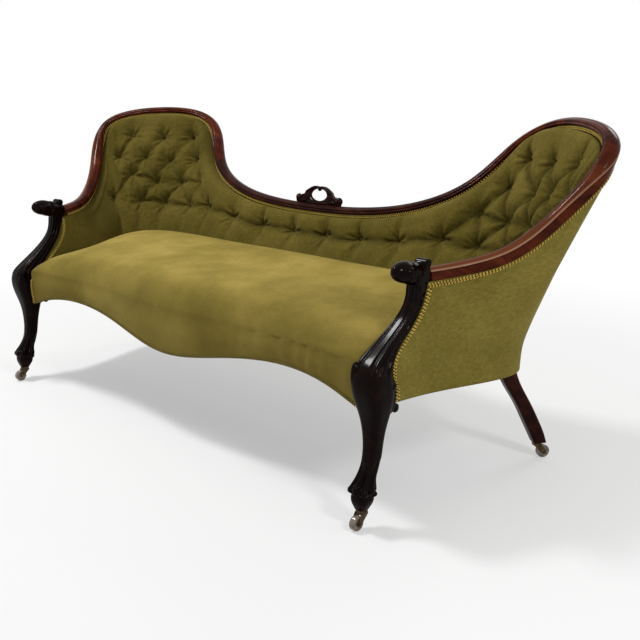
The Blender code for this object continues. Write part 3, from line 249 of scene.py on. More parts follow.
def spline(knots, values):
    """The natural cubic spline through values at the knots, for arrays of places."""
    knots = np.array(knots, float)
    values = np.array(values, float).reshape(len(knots), -1)
    gaps, count = np.diff(knots), len(knots)
    slopes = np.diff(values, axis=0) / gaps[:, None]
    system, right = np.eye(count), np.zeros_like(values)
    for i in range(1, count - 1):
        system[i, i - 1 : i + 2] = gaps[i - 1], 2 * (gaps[i - 1] + gaps[i]), gaps[i]
        right[i] = 6 * (slopes[i] - slopes[i - 1])
    bend = np.linalg.solve(system, right)

    def at(places):
        places = np.asarray(places, float)
        i = np.clip(np.searchsorted(knots, places) - 1, 0, count - 2)
        before, after = (knots[i + 1] - places)[..., None], (places - knots[i])[..., None]
        gap = gaps[i][..., None]
        curve = (bend[i] * before**3 + bend[i + 1] * after**3) / (6 * gap)
        straight = (values[i] / gap - bend[i] * gap / 6) * before
        return curve + straight + (values[i + 1] / gap - bend[i + 1] * gap / 6) * after

    return at


def both_halves(line):
    return [(-p[0], *p[1:]) for p in reversed(line[1:])] + list(line)


rail_at = spline(range(-ARM_END, ARM_END + 1), both_halves(RAIL_LINE))
foot_at = spline(range(-ARM_END, ARM_END + 1), both_halves(FOOT_LINE))
leg_at = spline([-z for _, z, _, _ in LEG_LINE], LEG_LINE)


def unit(vectors):
    return vectors / np.linalg.norm(vectors, axis=-1, keepdims=True)


def smooth_step(x):
    x = np.clip(x, 0, 1)
    return x * x * (3 - 2 * x)


def rise(x, start, length):
    """0 up to a start and 1 from a length beyond it, smoothly."""
    return smooth_step((x - start) / length)


def fall(x, end, length):
    """1 up to a length before an end and 0 from there on, smoothly."""
    return smooth_step((end - x) / length)


def rail_frame(u):
    """The rail's middle line, the way down the back from it, and the way out of the back."""
    here = rail_at(u)
    run = unit(rail_at(u + 0.01) - rail_at(u - 0.01))
    foot = foot_at(u)
    fall = np.concatenate([foot, np.full(foot.shape[:-1] + (1,), FOOT_Z)], -1) - here
    down = unit(fall - run * (fall * run).sum(-1, keepdims=True))
    return here, down, np.cross(run, down)


def lean_at(z):
    above, foot = z - LEAN_Z, FOOT_Z - LEAN_Z
    return (above + np.hypot(above, LEAN_ROUND) - foot - np.hypot(foot, LEAN_ROUND)) / 2


def leg_x(z):
    """The arm support splays a little above the seat."""
    return LEG_X + LEG_SPLAY * rise(z, SPLAY_LOW, SPLAY_RISE)


def leg_rear(z):
    line = leg_at(-z)
    return line[..., 0] + line[..., 3] / 2


def near_arm(u):
    return smooth_step((np.abs(u) - ARM_END + ARM_BLEND) / ARM_BLEND)


def under_rail(u):
    here, down, out = rail_frame(u)
    return here + down * (RAIL_HIGH / 2 + RAIL_GAP) + out * (RAIL_DEEP / 2 - COVER_SETBACK)


def outside(u, v):
    """The outside of the back: u counts along RAIL_LINE, v is 0 at the foot and 1 under the rail."""
    side, u = np.where(u < 0, -1.0, 1.0), np.abs(u)
    foot, top = foot_at(u), under_rail(u)
    z = FOOT_Z + (top[..., 2] - FOOT_Z) * v
    lean = lean_at(z) / lean_at(top[..., 2])
    x = foot[..., 0] + (top[..., 0] - foot[..., 0]) * lean
    y = foot[..., 1] + (top[..., 1] - foot[..., 1]) * lean
    end = np.full(np.shape(u), float(ARM_END))
    end_y = foot_at(end)[..., 1] + (under_rail(end)[..., 1] - foot_at(end)[..., 1]) * lean
    y = y + near_arm(u) * (leg_rear(z) + LEG_GAP - end_y)
    return np.stack([x * side, y, z], -1)


def way_out(u, v):
    """The way out through the back: level at its foot, square to the rail at its top."""
    side, u = np.where(u < 0, -1.0, 1.0), np.abs(u)
    run = unit(foot_at(u + 0.01) - foot_at(u - 0.01))
    level = np.stack([-run[..., 1], run[..., 0], np.zeros_like(run[..., 0])], -1)
    sideways = np.broadcast_to(np.array([1.0, 0, 0]), level.shape)
    _, down, out = rail_frame(u)
    turn = near_arm(u)[..., None]
    level = level * (1 - turn) + sideways * turn
    square = out * (1 - turn) + (sideways - down * (sideways * down).sum(-1, keepdims=True)) * turn
    share = np.asarray(v * v)[..., None]
    out = unit(level * (1 - share) + square * share)
    return out * np.stack([side, np.ones_like(side), np.ones_like(side)], -1)


def layer(u, v, depth):
    """A point of the back at a depth in from its outside."""
    return outside(u, v) - way_out(u, v) * np.asarray(depth)[..., None]


def height_share(u, z):
    return (z - FOOT_Z) / (under_rail(np.abs(u))[..., 2] - FOOT_Z)


def lengths_along(points):
    return np.concatenate([[0], np.cumsum(np.linalg.norm(np.diff(points, axis=0), axis=1))])


def even_places(first, last, step, v=0.6):
    """Places along the back about a step apart."""
    fine = np.linspace(first, last, 2001)
    way = lengths_along(outside(fine, np.full(2001, v)))
    return np.interp(np.linspace(0, way[-1], round(way[-1] / step) + 1), way, fine)


# Show-wood rail. It is cut from solid mahogany in five lengths, moulded with beads and hollows and a round
# top, rebated inside for the gimp, and french polished until it is nearly black.
RAIL_STEP = 0.006
ARM_Y, ARM_Z = -0.194, 0.571
JOINT_GAP = 0.0003
RAIL_MOULDING = (
    (0.98, 0.94), (1.00, 0.90), (1.00, -0.46), (0.30, -0.46), (0.30, -0.88), (0.26, -0.95),
    (0.18, -1.00), (0.06, -1.00), (-0.03, -0.96), (-0.08, -0.88), (-0.13, -0.84), (-0.19, -0.86),
    (-0.23, -0.91), (-0.30, -0.93), (-0.42, -0.88), (-0.54, -0.81), (-0.64, -0.73), (-0.70, -0.64),
    (-0.72, -0.57), (-0.80, -0.53), (-0.90, -0.44), (-0.97, -0.29), (-1.00, -0.10), (-1.00, 0.12),
    (-0.96, 0.34), (-0.88, 0.52), (-0.78, 0.65), (-0.70, 0.70), (-0.64, 0.79), (-0.54, 0.86),
    (-0.43, 0.93), (-0.35, 0.94), (-0.31, 0.90), (-0.26, 0.90), (-0.21, 0.97), (-0.05, 0.99),
    (0.30, 1.00), (0.70, 0.99), (0.90, 0.97),
)
# Rubbed polish and painted light, by point of the moulding and by place along the rail: the upper bead is
# lighter, partly as painted light, and the arris carries a painted highlight.
BEAD_WORN_LIT_COLOUR, ARRIS_HIGHLIGHT_COLOUR = (0.125, 0.036, 0.0115, 1.0), (0.36, 0.205, 0.13, 1.0)
BEAD_WORN_LIT = ((22, 0.0), (25, 1.0), (29, 1.0), (32, 0.0))
ARRIS_HIGHLIGHT = ((28, 0.0), (30, 1.0), (31, 0.8), (32, 0.0))
WEAR_AND_LIGHT_PLACES = (0, 5.5, 8.0, 9.8)
BEAD_SHARES, ARRIS_SHARES = (0, 0, 0.25, 1.0), (0, 0, 0.7, 1.0)


def placed(name, mesh):
    """A new piece of a mesh, at the origin."""
    piece = bpy.data.objects.new(name, mesh)
    bpy.context.scene.collection.objects.link(piece)
    return piece


def piece_of(name, points, faces):
    """A new piece from points and faces, pointing outwards and smooth."""
    mesh = bpy.data.meshes.new(name)
    mesh.from_pydata(np.reshape(points, (-1, 3)).tolist(), [], faces)
    bm = bmesh.new()
    bm.from_mesh(mesh)
    bmesh.ops.remove_doubles(bm, verts=bm.verts, dist=1e-6)
    bmesh.ops.recalc_face_normals(bm, faces=bm.faces)
    bm.to_mesh(mesh)
    bm.free()
    mesh.shade_smooth()
    return placed(name, mesh)


def tube_faces(rings, sides):
    """Faces of a closed tube through rings of points, one ring after another, with capped ends."""
    faces = []
    for r in range(rings - 1):
        for s in range(sides):
            t = (s + 1) % sides
            faces.append((r * sides + s, r * sides + t, (r + 1) * sides + t, (r + 1) * sides + s))
    return faces + [tuple(range(sides)), tuple(range((rings - 1) * sides, rings * sides))]


def tube(name, rings):
    return piece_of(name, rings, tube_faces(*np.shape(rings)[:2]))


def mark(piece, name, values):
    """Keeps a value at each point of a piece, for its finish to read."""
    note = piece.data.attributes.new(name, "FLOAT", "POINT")
    note.data.foreach_set("value", values.astype(np.float32))


def dress(piece, finish, node=None, body="frame"):
    """Gives a piece its finish and its body, and hides the CAD node that it stands for."""
    finish.on(piece)
    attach(piece, body)
    if node:
        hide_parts(node)


def mahogany(name, deep, middle, light):
    """Old mahogany under french polish: a ribbon figure, dark pores and a rubbed gloss."""
    wood = Finish(name, specular_ior_level=0.028, coat_roughness=0.05)
    figure = wood.place.noise(16, 6, 0.6, 1.2, stretch=(4, 1, 0.7), turn=(0, 25, 15))
    pores = wood.place.noise(700, 2, 0.6, stretch=(9, 1, 1))
    rubbed_and_lit = wood.place.noise(5, 3)
    tone = figure * 0.65 + rubbed_and_lit * 0.25 + pores * 0.1
    wood.colour = tone.ramp((0.36, deep), (0.52, middle), (0.68, light))
    wood.drive(
        base_color=wood.colour,
        roughness=rubbed_and_lit * 0.09 + pores * 0.03 + 0.09,
        coat_weight=rubbed_and_lit * 0.05 + 0.015,
        normal=pores.bump(0.06, 0.0002),
    )
    return wood


def cut_at_arm_scroll(rings, runs):
    """Ends the rings of an arm rail on the flat back of the arm scroll."""
    stop = ARM_Y + JOINT_GAP
    slide = (stop - rings[..., 1]) / runs[:, None, 1]
    passed = rings[..., 1] < stop
    passed[-1] = True
    return rings + runs[:, None] * (slide * passed)[..., None]


rail_polish = mahogany(
    "mahogany_rail", (0.022, 0.0038, 0.0015), (0.068, 0.0112, 0.0036), (0.135, 0.029, 0.009)
)
# The upper bead is tinted lighter, partly as rubbed polish and partly as painted light, and the arris takes
# a painted highlight.
worn_lit_bead = rail_polish.attribute("worn_lit_bead").tint(rail_polish.colour, BEAD_WORN_LIT_COLOUR)
rail_polish.drive(base_color=rail_polish.attribute("arris_highlight").tint(worn_lit_bead, ARRIS_HIGHLIGHT_COLOUR))
darker_polish = mahogany(
    "mahogany_middle", (0.01, 0.0026, 0.0019), (0.028, 0.0068, 0.0042), (0.07, 0.018, 0.0085)
)
LENGTHS = (
    ("centre_back_rail", -SPOON_JOINT, SPOON_JOINT),
    ("spoon_rail_right", SPOON_JOINT, ARM_JOINT),
    ("spoon_rail_left", -SPOON_JOINT, -ARM_JOINT),
    ("arm_rail_right", ARM_JOINT, ARM_END),
    ("arm_rail_left", -ARM_JOINT, -ARM_END),
)
moulding = np.array(RAIL_MOULDING) * (RAIL_HIGH / 2, RAIL_DEEP / 2)
for name, first, last in LENGTHS:
    places = np.sign(last - first) * even_places(*sorted((abs(first), abs(last))), RAIL_STEP, 1.0)
    if first < 0 < last:
        places = even_places(first, last, RAIL_STEP, 1.0)
    here, down, out = rail_frame(places)
    rings = here[:, None] + down[:, None] * moulding[:, :1] + out[:, None] * moulding[:, 1:]
    if abs(last) == ARM_END:
        rings = cut_at_arm_scroll(rings, unit(np.gradient(here, axis=0)))
    rail = tube("moulded_" + name, rings)
    rail.data.set_sharp_from_angle(angle=math.radians(50))
    # How much of the lighter bead and of the painted arris highlight each point takes, more towards the arm
    # ends.
    for part, across, shares in (("worn_lit_bead", BEAD_WORN_LIT, BEAD_SHARES), ("arris_highlight", ARRIS_HIGHLIGHT, ARRIS_SHARES)):
        worn_lit_along = np.interp(np.abs(places), WEAR_AND_LIGHT_PLACES, shares)
        rubbed_and_lit = np.interp(np.arange(len(moulding)), *zip(*across))
        mark(rail, part, np.outer(worn_lit_along, rubbed_and_lit).reshape(-1))
    dress(rail, darker_polish if first < 0 < last else rail_polish, name)


# Rear legs. Square sabre legs of mahogany, with their arrises just taken off, sweep out and back from the
# corners of the seat frame.
REAR_CORNER = 5.8
REAR_SETBACK = 0.0047
REAR_TOP = 0.375
REAR_LINE = (
    (0.000, 0.285, 0.040), (0.005, 0.255, 0.043), (0.022, 0.215, 0.043), (0.052, 0.165, 0.041),
    (0.078, 0.115, 0.041), (0.096, 0.078, 0.040), (0.109, 0.0473, 0.036),
)
REAR_SQUARENESS = 7.0
REAR_RINGS, REAR_SIDES = 48, 40
SIDES = (("right", 1.0), ("left", -1.0))
rear_at = spline([-z for _, z, _ in REAR_LINE], REAR_LINE)
corner = np.array([REAR_CORNER])
corner_run = unit(foot_at(corner + 0.01) - foot_at(corner - 0.01))[0]
rear_out = np.array([-corner_run[1], corner_run[0]])
rear_side = np.array([rear_out[1], -rear_out[0]])
rear_post = foot_at(corner)[0] - rear_out * (REAR_SETBACK + REAR_LINE[0][2] / 2)
angles = 2 * np.pi * (np.arange(REAR_SIDES) + 0.5) / REAR_SIDES


def rounded_square(angles, squareness):
    """Reach of a rounded square of half-size 1 at each angle."""
    c, s = np.abs(np.cos(angles)), np.abs(np.sin(angles))
    return (c**squareness + s**squareness) ** (-1 / squareness)


leg_polish = mahogany(
    "mahogany_legs", (0.002, 0.0006, 0.0005), (0.0046, 0.0012, 0.0009), (0.016, 0.0042, 0.0026)
)
reach = rounded_square(angles, REAR_SQUARENESS)
rings = []
for z in [REAR_TOP, *np.linspace(REAR_LINE[0][1], REAR_LINE[-1][1], REAR_RINGS)]:
    sweep, _, thick = rear_at(np.array([-min(z, REAR_LINE[0][1])]))[0]
    middle = rear_post + rear_out * sweep
    across, along = np.cos(angles) * reach * thick / 2, np.sin(angles) * reach * thick / 2
    plan = middle + across[:, None] * rear_side + along[:, None] * rear_out
    rings.append(np.column_stack([plan, np.full(REAR_SIDES, z)]))
for side, sign in SIDES:
    leg = tube("sabre_leg_" + side, np.array(rings) * (sign, 1, 1))
    leg.data.set_sharp_from_angle(angle=math.radians(40))
    dress(leg, darker_polish, "rear_leg_" + side)


# Front legs. Each is carved from one thick piece of mahogany with its arm support: a scrolled hand-hold on
# top, reeds down the support, a broad eared knee, and a leafy scrolled toe over a small tapered block.
LEG_RINGS, LEG_SIDES = 230, 144
ARM_SQUARENESS, KNEE_SQUARENESS = 6.0, 3.6
KNEE_FULLER = 1.08
LEG_FOOT = 0.0473
REEDS = (45, 112)
REED_HALF, REED_RISE = 15, 0.05
REED_LOW, REED_HIGH = (0.362, 0.022), (0.556, 0.012)
KNEE_TOP = (0.385, 0.05)
QUIRK_WIDTH = 5.5
QUIRK_DEPTH = 0.13
LEAVES = 7
LEAF_DEPTH = 0.34
TOE_LOW, TOE_EDGE, TOE_HIGH = 0.0865, 0.004, (0.172, 0.055)
TOE_FLARE, FLARE_TOP = 0.16, (0.125, 0.035)
BLOCK_STEP, BLOCK_BELLY = 0.17, 0.17
ROLL_DISH = 0.25
CARVED_VOXEL = 0.0015


def ball(centre, size, turn=(0, 0, 0)):
    """A ball of carved wood of a half-size each way, at its place."""
    bpy.ops.mesh.primitive_uv_sphere_add(segments=32, ring_count=16, location=centre, rotation=turn)
    made = bpy.context.object
    made.scale = size
    bpy.ops.object.transform_apply()
    return made


def block(low, high, round_edge):
    """A block of wood between two corners with its edges rounded off."""
    low, high = Vector(low), Vector(high)
    bpy.ops.mesh.primitive_cube_add(size=1, location=(low + high) / 2)
    made = bpy.context.object
    made.scale = high - low
    bpy.ops.object.transform_apply()
    bpy.ops.object.mode_set(mode="EDIT")
    bpy.ops.mesh.select_all(action="SELECT")
    bpy.ops.mesh.bevel(offset=round_edge, segments=5, affect="EDGES")
    bpy.ops.object.mode_set(mode="OBJECT")
    return made


def roll(centre, radius, length):
    """A scroll end that lies along X: a drum with a sunk ring and a raised eye in each face."""
    bpy.ops.mesh.primitive_cylinder_add(vertices=40, radius=radius, depth=length, location=centre)
    made = bpy.context.object
    made.rotation_euler = (0, math.pi / 2, 0)
    bpy.ops.object.transform_apply()
    bm = bmesh.new()
    bm.from_mesh(made.data)
    for end in [f for f in bm.faces if len(f.verts) > 4]:
        bmesh.ops.inset_region(bm, faces=[end], thickness=radius * 0.32)
        bmesh.ops.translate(bm, verts=end.verts, vec=end.normal * (-radius * ROLL_DISH))
        bmesh.ops.inset_region(bm, faces=[end], thickness=radius * 0.22)
        bmesh.ops.translate(bm, verts=end.verts, vec=end.normal * (radius * ROLL_DISH * 1.1))
    bm.to_mesh(made.data)
    bm.free()
    return made


def joined(name, pieces):
    """Several pieces as one."""
    bpy.ops.object.select_all(action="DESELECT")
    for piece in pieces:
        piece.select_set(True)
    bpy.context.view_layer.objects.active = pieces[0]
    bpy.ops.object.join()
    made = bpy.context.object
    made.name = made.data.name = name
    return made


def carve(name, blanks, voxel, rounds):
    """Joins overlapping blanks into one carved piece with soft edges."""
    made = joined(name, blanks)
    melt = made.modifiers.new("melt", "REMESH")
    melt.mode = "VOXEL"
    melt.voxel_size = voxel
    soften = made.modifiers.new("soften", "SMOOTH")
    soften.factor = 0.5
    soften.iterations = rounds
    for modifier in ("melt", "soften"):
        bpy.ops.object.modifier_apply(modifier=modifier)
    made.data.shade_smooth()
    made.select_set(False)
    return made


def bumps(heading, places, width):
    """1 at each place round a section, falling to 0 beside it."""
    away = np.array([np.abs(heading - math.radians(place)) for place in places])
    return np.exp(-((away / math.radians(width)) ** 2)).max(0)


def leg_blank():
    """The S-shaped blank with its reeds and the leaves of its toe."""
    angle = 2 * np.pi * (np.arange(LEG_SIDES) + 0.5) / LEG_SIDES
    c, s = np.cos(angle), np.sin(angle)
    square = rounded_square(angle, ARM_SQUARENESS)
    round_knee = rounded_square(angle, KNEE_SQUARENESS) * KNEE_FULLER
    heading = np.abs(np.arctan2(c, -s))
    quirks = bumps(heading, [reed + side * REED_HALF for reed in REEDS for side in (-1, 1)], QUIRK_WIDTH)
    beads = bumps(heading, REEDS, REED_HALF * 0.6)
    veins = (0.5 - 0.5 * np.cos(LEAVES * heading)) ** 2
    rings = []
    for z in np.linspace(LEG_LINE[0][1], LEG_FOOT, LEG_RINGS):
        y, _, wide, deep = leg_at(np.array([-z]))[0]
        reeded = rise(z, *REED_LOW) * fall(z, *REED_HIGH)
        leafy = rise(z, TOE_LOW, TOE_EDGE) * fall(z, *TOE_HIGH)
        shape = 1 - reeded * (QUIRK_DEPTH * quirks - REED_RISE * beads) - LEAF_DEPTH * leafy * veins
        flare = 1 + TOE_FLARE * leafy * fall(z, *FLARE_TOP)
        flare = flare - BLOCK_STEP * smooth_step((TOE_LOW - z) / TOE_EDGE + 1)
        under = np.clip((TOE_LOW - z) / (TOE_LOW - LEG_FOOT), 0, 1)
        flare = flare + BLOCK_BELLY * math.sin(math.pi * under)
        above = rise(z, *KNEE_TOP)
        r = (square * above + round_knee * (1 - above)) * shape * flare
        ring = (leg_x(z) + c * r * wide / 2, y + s * r * deep / 2, np.full(LEG_SIDES, z))
        rings.append(np.column_stack(ring))
    return tube("leg_blank", rings)


def leg_front(z):
    line = leg_at(-z)
    return line[..., 0] - line[..., 3] / 2


def arm_scroll(x):
    """The hand-hold: a block on the leg with a ball in front, a roll on top and bosses at the sides."""
    y, z = ARM_Y, ARM_Z
    blanks = [
        block((x - 0.0205, y - 0.05, z - 0.016), (x + 0.0205, y - 0.0005, z + 0.02), 0.007),
        block((x - 0.0185, y - 0.046, z - 0.044), (x + 0.0185, y - 0.006, z + 0.004), 0.012),
        ball((x, y - 0.05, z + 0.011), (0.0235, 0.047, 0.0265), (-0.1, 0, 0)),
        ball((x, y - 0.072, z + 0.0165), (0.0243, 0.042, 0.0255), (-0.1, 0, 0)),
        roll((x + 0.004, y - 0.012, z + 0.03), 0.0105, 0.036),
        block((x - 0.0125, y - 0.024, z + 0.014), (x + 0.0205, y - 0.002, z + 0.035), 0.005),
    ]
    for face in (-1, 1):
        blanks.append(ball((x + face * 0.0195, y - 0.045, z + 0.002), (0.0065, 0.0095, 0.0095)))
        blanks.append(ball((x + face * 0.0222, y - 0.074, z + 0.017), (0.006, 0.012, 0.012)))
    return blanks


def knee_and_toe(x):
    """Ear and scrolls: on the inner side of the knee, behind and under it, and round the toe."""
    blanks = [ball((x - 0.027, -0.376, 0.348), (0.012, 0.02, 0.046), (0.1, -0.08, 0))]
    for face in (-1, 1):
        blanks += [
            ball((x + face * 0.034, -0.327, 0.337), (0.0065, 0.0125, 0.0125)),
            ball((x + face * 0.021, leg_front(0.096) + 0.008, 0.095), (0.008, 0.009, 0.008)),
            ball((x + face * 0.02, leg_rear(0.088) - 0.007, 0.085), (0.0075, 0.008, 0.007)),
        ]
    blanks.append(roll((x, leg_rear(0.335) - 0.0085, 0.337), 0.012, 0.064))
    for face in (-1, 1):
        blanks.append(ball((x + face * 0.02, leg_rear(0.312) - 0.0045, 0.314), (0.016, 0.013, 0.048)))
    return blanks + [
        ball((x, leg_rear(0.27) + 0.004, 0.272), (0.0225, 0.019, 0.009), (0.4, 0, 0)),
        roll((x, leg_rear(0.27) + 0.0185, 0.2765), 0.011, 0.05),
        ball((x, leg_front(0.098) + 0.005, 0.0985), (0.015, 0.0105, 0.01)),
        roll((x, leg_rear(0.084) - 0.003, 0.084), 0.0085, 0.034),
    ]


blanks = [leg_blank(), *arm_scroll(leg_x(ARM_Z)), *knee_and_toe(LEG_X)]
carved = carve("carved_leg_right", blanks, CARVED_VOXEL, 3)
other = placed("carved_leg_left", carved.data.copy())
other.data.name = other.name
other.data.transform(Matrix.Scale(-1, 4, (1, 0, 0)))
other.data.flip_normals()
dress(carved, leg_polish, "front_leg_right")
dress(other, leg_polish, "front_leg_left")


# Crest. A pierced carving of two leafy C-scrolls stands on the middle of the rail; they meet over an oval
# opening and end in round volutes.
CREST_DEEP = 0.02
CREST_SIDES, CREST_STEPS = 20, 90
HOLE_RISE, HOLE_WIDE, HOLE_HIGH = 0.03, 0.035, 0.019
OUTLINE = (
    (0.100, 0.0060), (0.088, 0.0215), (0.076, 0.0215), (0.065, 0.0290), (0.054, 0.0400),
    (0.042, 0.0490), (0.030, 0.0550), (0.018, 0.0580), (0.008, 0.0578), (0.000, 0.0545),
)
PLATE_DEPTH = (
    (0.0, 0.25), (0.12, 0.60), (0.30, 0.85), (0.42, 0.68),
    (0.62, 0.92), (0.86, 0.82), (0.96, 0.62), (1.0, 0.30),
)
PLATE_SUNK = 0.0018
PLATE_TURNS = 160
CREST_VOXEL = 0.0012
LEAF_RIBS = (
    ((0.078, 0.006, 0.0030), (0.062, 0.013, 0.0042), (0.050, 0.028, 0.0030)),
    ((0.068, 0.004, 0.0026), (0.052, 0.010, 0.0040), (0.043, 0.022, 0.0028)),
    ((0.054, 0.036, 0.0024), (0.042, 0.043, 0.0034), (0.026, 0.051, 0.0024)),
    ((0.088, 0.008, 0.0026), (0.074, 0.019, 0.0036), (0.064, 0.026, 0.0026)),
)
rail_middle, rail_down, rail_out = (part[0] for part in rail_frame(np.array([0.0])))
crest_foot = rail_middle - rail_down * (RAIL_HIGH / 2)


def on_crest(x, rise, deep=0.0):
    """A point of the carving, which follows the sag of the rail under it."""
    sag = rail_at(np.array([x / RAIL_LINE[1][0]]))[0][2] - RAIL_LINE[0][2]
    return crest_foot + np.array([x, 0, sag]) - rail_down * rise + rail_out * deep


def carved_bar(line, deep, shift=0.0):
    """A round bar that follows x, rise and radius, with its own depth through the carving."""
    path = spline(range(len(line)), line)(np.linspace(0, len(line) - 1, CREST_STEPS))
    step = np.gradient(path[:, :2], axis=0)
    normal = unit(np.stack([-step[:, 1], step[:, 0]], -1))
    turn = 2 * np.pi * np.arange(CREST_SIDES) / CREST_SIDES
    rings = []
    for (x, rise, radius), (nx, nr) in zip(path, normal):
        spread, depth = radius * np.cos(turn), shift + deep * np.sin(turn)
        rings.append([on_crest(x + nx * a, rise + nr * a, d) for a, d in zip(spread, depth)])
    return tube("bar", rings)


def crest_plate():
    """The plate of the crest: pierced by its oval opening, with a raised rim and thin outer edges."""
    turn = 2 * np.pi * (np.arange(PLATE_TURNS) + 0.5) / PLATE_TURNS
    c, s = np.cos(turn), np.sin(turn)
    hole = 1 / np.hypot(c / HOLE_WIDE, s / HOLE_HIGH)
    bounds = [(math.atan2(h - HOLE_RISE, x), math.hypot(x, h - HOLE_RISE)) for x, h in OUTLINE]
    upright = np.arctan2(s, np.abs(c))
    rim = np.interp(upright, [place for place, _ in bounds], [reach for _, reach in bounds])
    rim = np.minimum(rim, (HOLE_RISE + PLATE_SUNK) / np.maximum(-s, 1e-6))
    round_edge = [*PLATE_DEPTH, *((share, -deep) for share, deep in PLATE_DEPTH[::-1])]
    points, faces, count = [], [], len(round_edge)
    for k in range(PLATE_TURNS):
        for j, (share, deep) in enumerate(round_edge):
            reach = hole[k] + (rim[k] - hole[k]) * share
            points.append(on_crest(c[k] * reach, HOLE_RISE + s[k] * reach, deep * CREST_DEEP / 2))
            m, n = (k + 1) % PLATE_TURNS, (j + 1) % count
            faces.append((k * count + j, k * count + n, m * count + n, m * count + j))
    return piece_of("plate", points, faces)


def crest_half(sign):
    half = CREST_DEEP / 2
    blanks = [ball(on_crest(sign * 0.09, 0.014), (0.0125, half, 0.0128))]
    for face in (-1, 1):
        blanks.append(ball(on_crest(sign * 0.09, 0.0145, face * half * 0.88), (0.0055, 0.003, 0.0055)))
        for rib in LEAF_RIBS:
            blanks.append(carved_bar([(sign * x, h, r) for x, h, r in rib], 0.0032, face * half * 0.86))
    return blanks


drop = ball(on_crest(0.0, 0.048), (0.005, 0.008, 0.0065))
blanks = [crest_plate(), *crest_half(1), *crest_half(-1), drop]
crest_polish = mahogany(
    "mahogany_crest", (0.005, 0.002, 0.002), (0.0135, 0.0042, 0.0036), (0.044, 0.011, 0.0075)
)
dress(carve("carved_crest", blanks, CREST_VOXEL, 2), crest_polish, "crest_carving")


# Castors. Dark brass horns turn on plates under the legs and carry glazed ceramic wheels on pins. The
# wheel is one cast and glazed piece with a rounded tread and a dished face.
WHEEL_RADIUS, WHEEL_WIDTH = 0.018, 0.016
WHEEL_ROUND, WHEEL_DISH = 0.0038, 0.001
HORNS = ("castor_plate", "castor_fork", "castor_axle")
brass = Finish("aged_brass", metallic=1.0)
patina = brass.place.noise(140, 4, 0.6)
brass.drive(
    base_color=patina.ramp(
        (0.35, (0.03, 0.02, 0.012)), (0.6, (0.1, 0.068, 0.034)), (0.8, (0.3, 0.2, 0.09))
    ),
    roughness=patina * 0.35 + 0.25,
    normal=patina.bump(0.15, 0.0004),
)
brass.on(*[node for name, node in frame["nodes"].items() if name.startswith(HORNS)])
ceramic = Finish("glazed_ceramic", coat_roughness=0.06)
stained = ceramic.place.noise(90, 3)
crackle = ceramic.place.noise(420, 3)
ceramic.drive(
    base_color=stained.ramp((0.3, (0.05, 0.038, 0.028)), (0.68, (0.22, 0.175, 0.13))),
    roughness=stained * 0.2 + 0.18,
    coat_weight=stained * 0.2 + 0.2,
    normal=crackle.bump(0.05, 0.0002),
)
bpy.ops.mesh.primitive_cylinder_add(vertices=56, radius=WHEEL_RADIUS, depth=WHEEL_WIDTH)
cast = bpy.context.object
bm = bmesh.new()
bm.from_mesh(cast.data)
rims = [e for e in bm.edges if any(len(f.verts) > 4 for f in e.link_faces)]
bmesh.ops.bevel(bm, geom=rims, offset=WHEEL_ROUND, segments=6, profile=0.6, affect="EDGES")
for end in [f for f in bm.faces if len(f.verts) > 20]:
    bmesh.ops.inset_region(bm, faces=[end], thickness=WHEEL_ROUND)
    bmesh.ops.translate(bm, verts=end.verts, vec=end.normal * -WHEEL_DISH)
bm.to_mesh(cast.data)
bm.free()
cast.data.shade_smooth()
cast.data.set_sharp_from_angle(angle=math.radians(45))
for corner_name in ("front_right", "front_left", "rear_right", "rear_left"):
    joint = next(j for j in frame["joints"] if j["name"] == "wheel_spin_" + corner_name)
    turn = Vector((0, 0, 1)).rotation_difference(Vector(joint["axis"])).to_matrix().to_4x4()
    wheel = placed("ceramic_wheel_" + corner_name, cast.data.copy())
    wheel.data.name = wheel.name
    wheel.data.transform(Matrix.Translation(joint["pos_m"]) @ turn)
    dress(wheel, ceramic, "castor_wheel_" + corner_name, "wheel_" + corner_name)
bpy.data.objects.remove(cast)


# Outside back. Velvet is stretched down from the rail and round both ends, and tacked under the seat
# frame; its nap lies on the slant and shows every brush of a hand.
COVER_THICK = 0.0025
COVER_STEP = 0.012
COVER_ROWS = 48
COVER_TUCK = 0.003
RIPPLE, RIPPLES = 0.0006, 9.0
SHEEN = (0.8, 0.68, 0.28, 1.0)
NAP_LIE = (0, -16, 50)


def back_pace(u):
    """Metres of height that one unit of v takes under the rail."""
    return np.linalg.norm(outside(u, np.ones_like(u)) - outside(u, np.full_like(u, 0.9)), axis=-1) / 0.1


def velvet(name, dark, mid, pale, brushed=0.4, patchy=0.36):
    """Cotton velvet: an upright nap with brushed patches, slanting flecks and a bloom at grazing angles."""
    cloth = Finish(name, specular_ior_level=0.04, sheen_weight=0.2, sheen_roughness=0.38, sheen_tint=SHEEN)
    patches = cloth.place.noise(5.0, 5, 0.6)
    flecks = cloth.place.noise(240, 3, 0.7, 0.3, stretch=(4, 1, 1), turn=NAP_LIE)
    nap_and_shade = cloth.place.noise(900, 2, 0.7)
    tone = patches * patchy + flecks * brushed + nap_and_shade * (1 - patchy - brushed)
    cloth.colour = tone.ramp((0.36, dark), (0.5, mid), (0.64, pale))
    cloth.drive(
        base_color=cloth.colour,
        roughness=patches * 0.15 + 0.8,
        normal=(nap_and_shade * 0.6 + flecks * 0.4).bump(0.45, 0.001),
    )
    return cloth


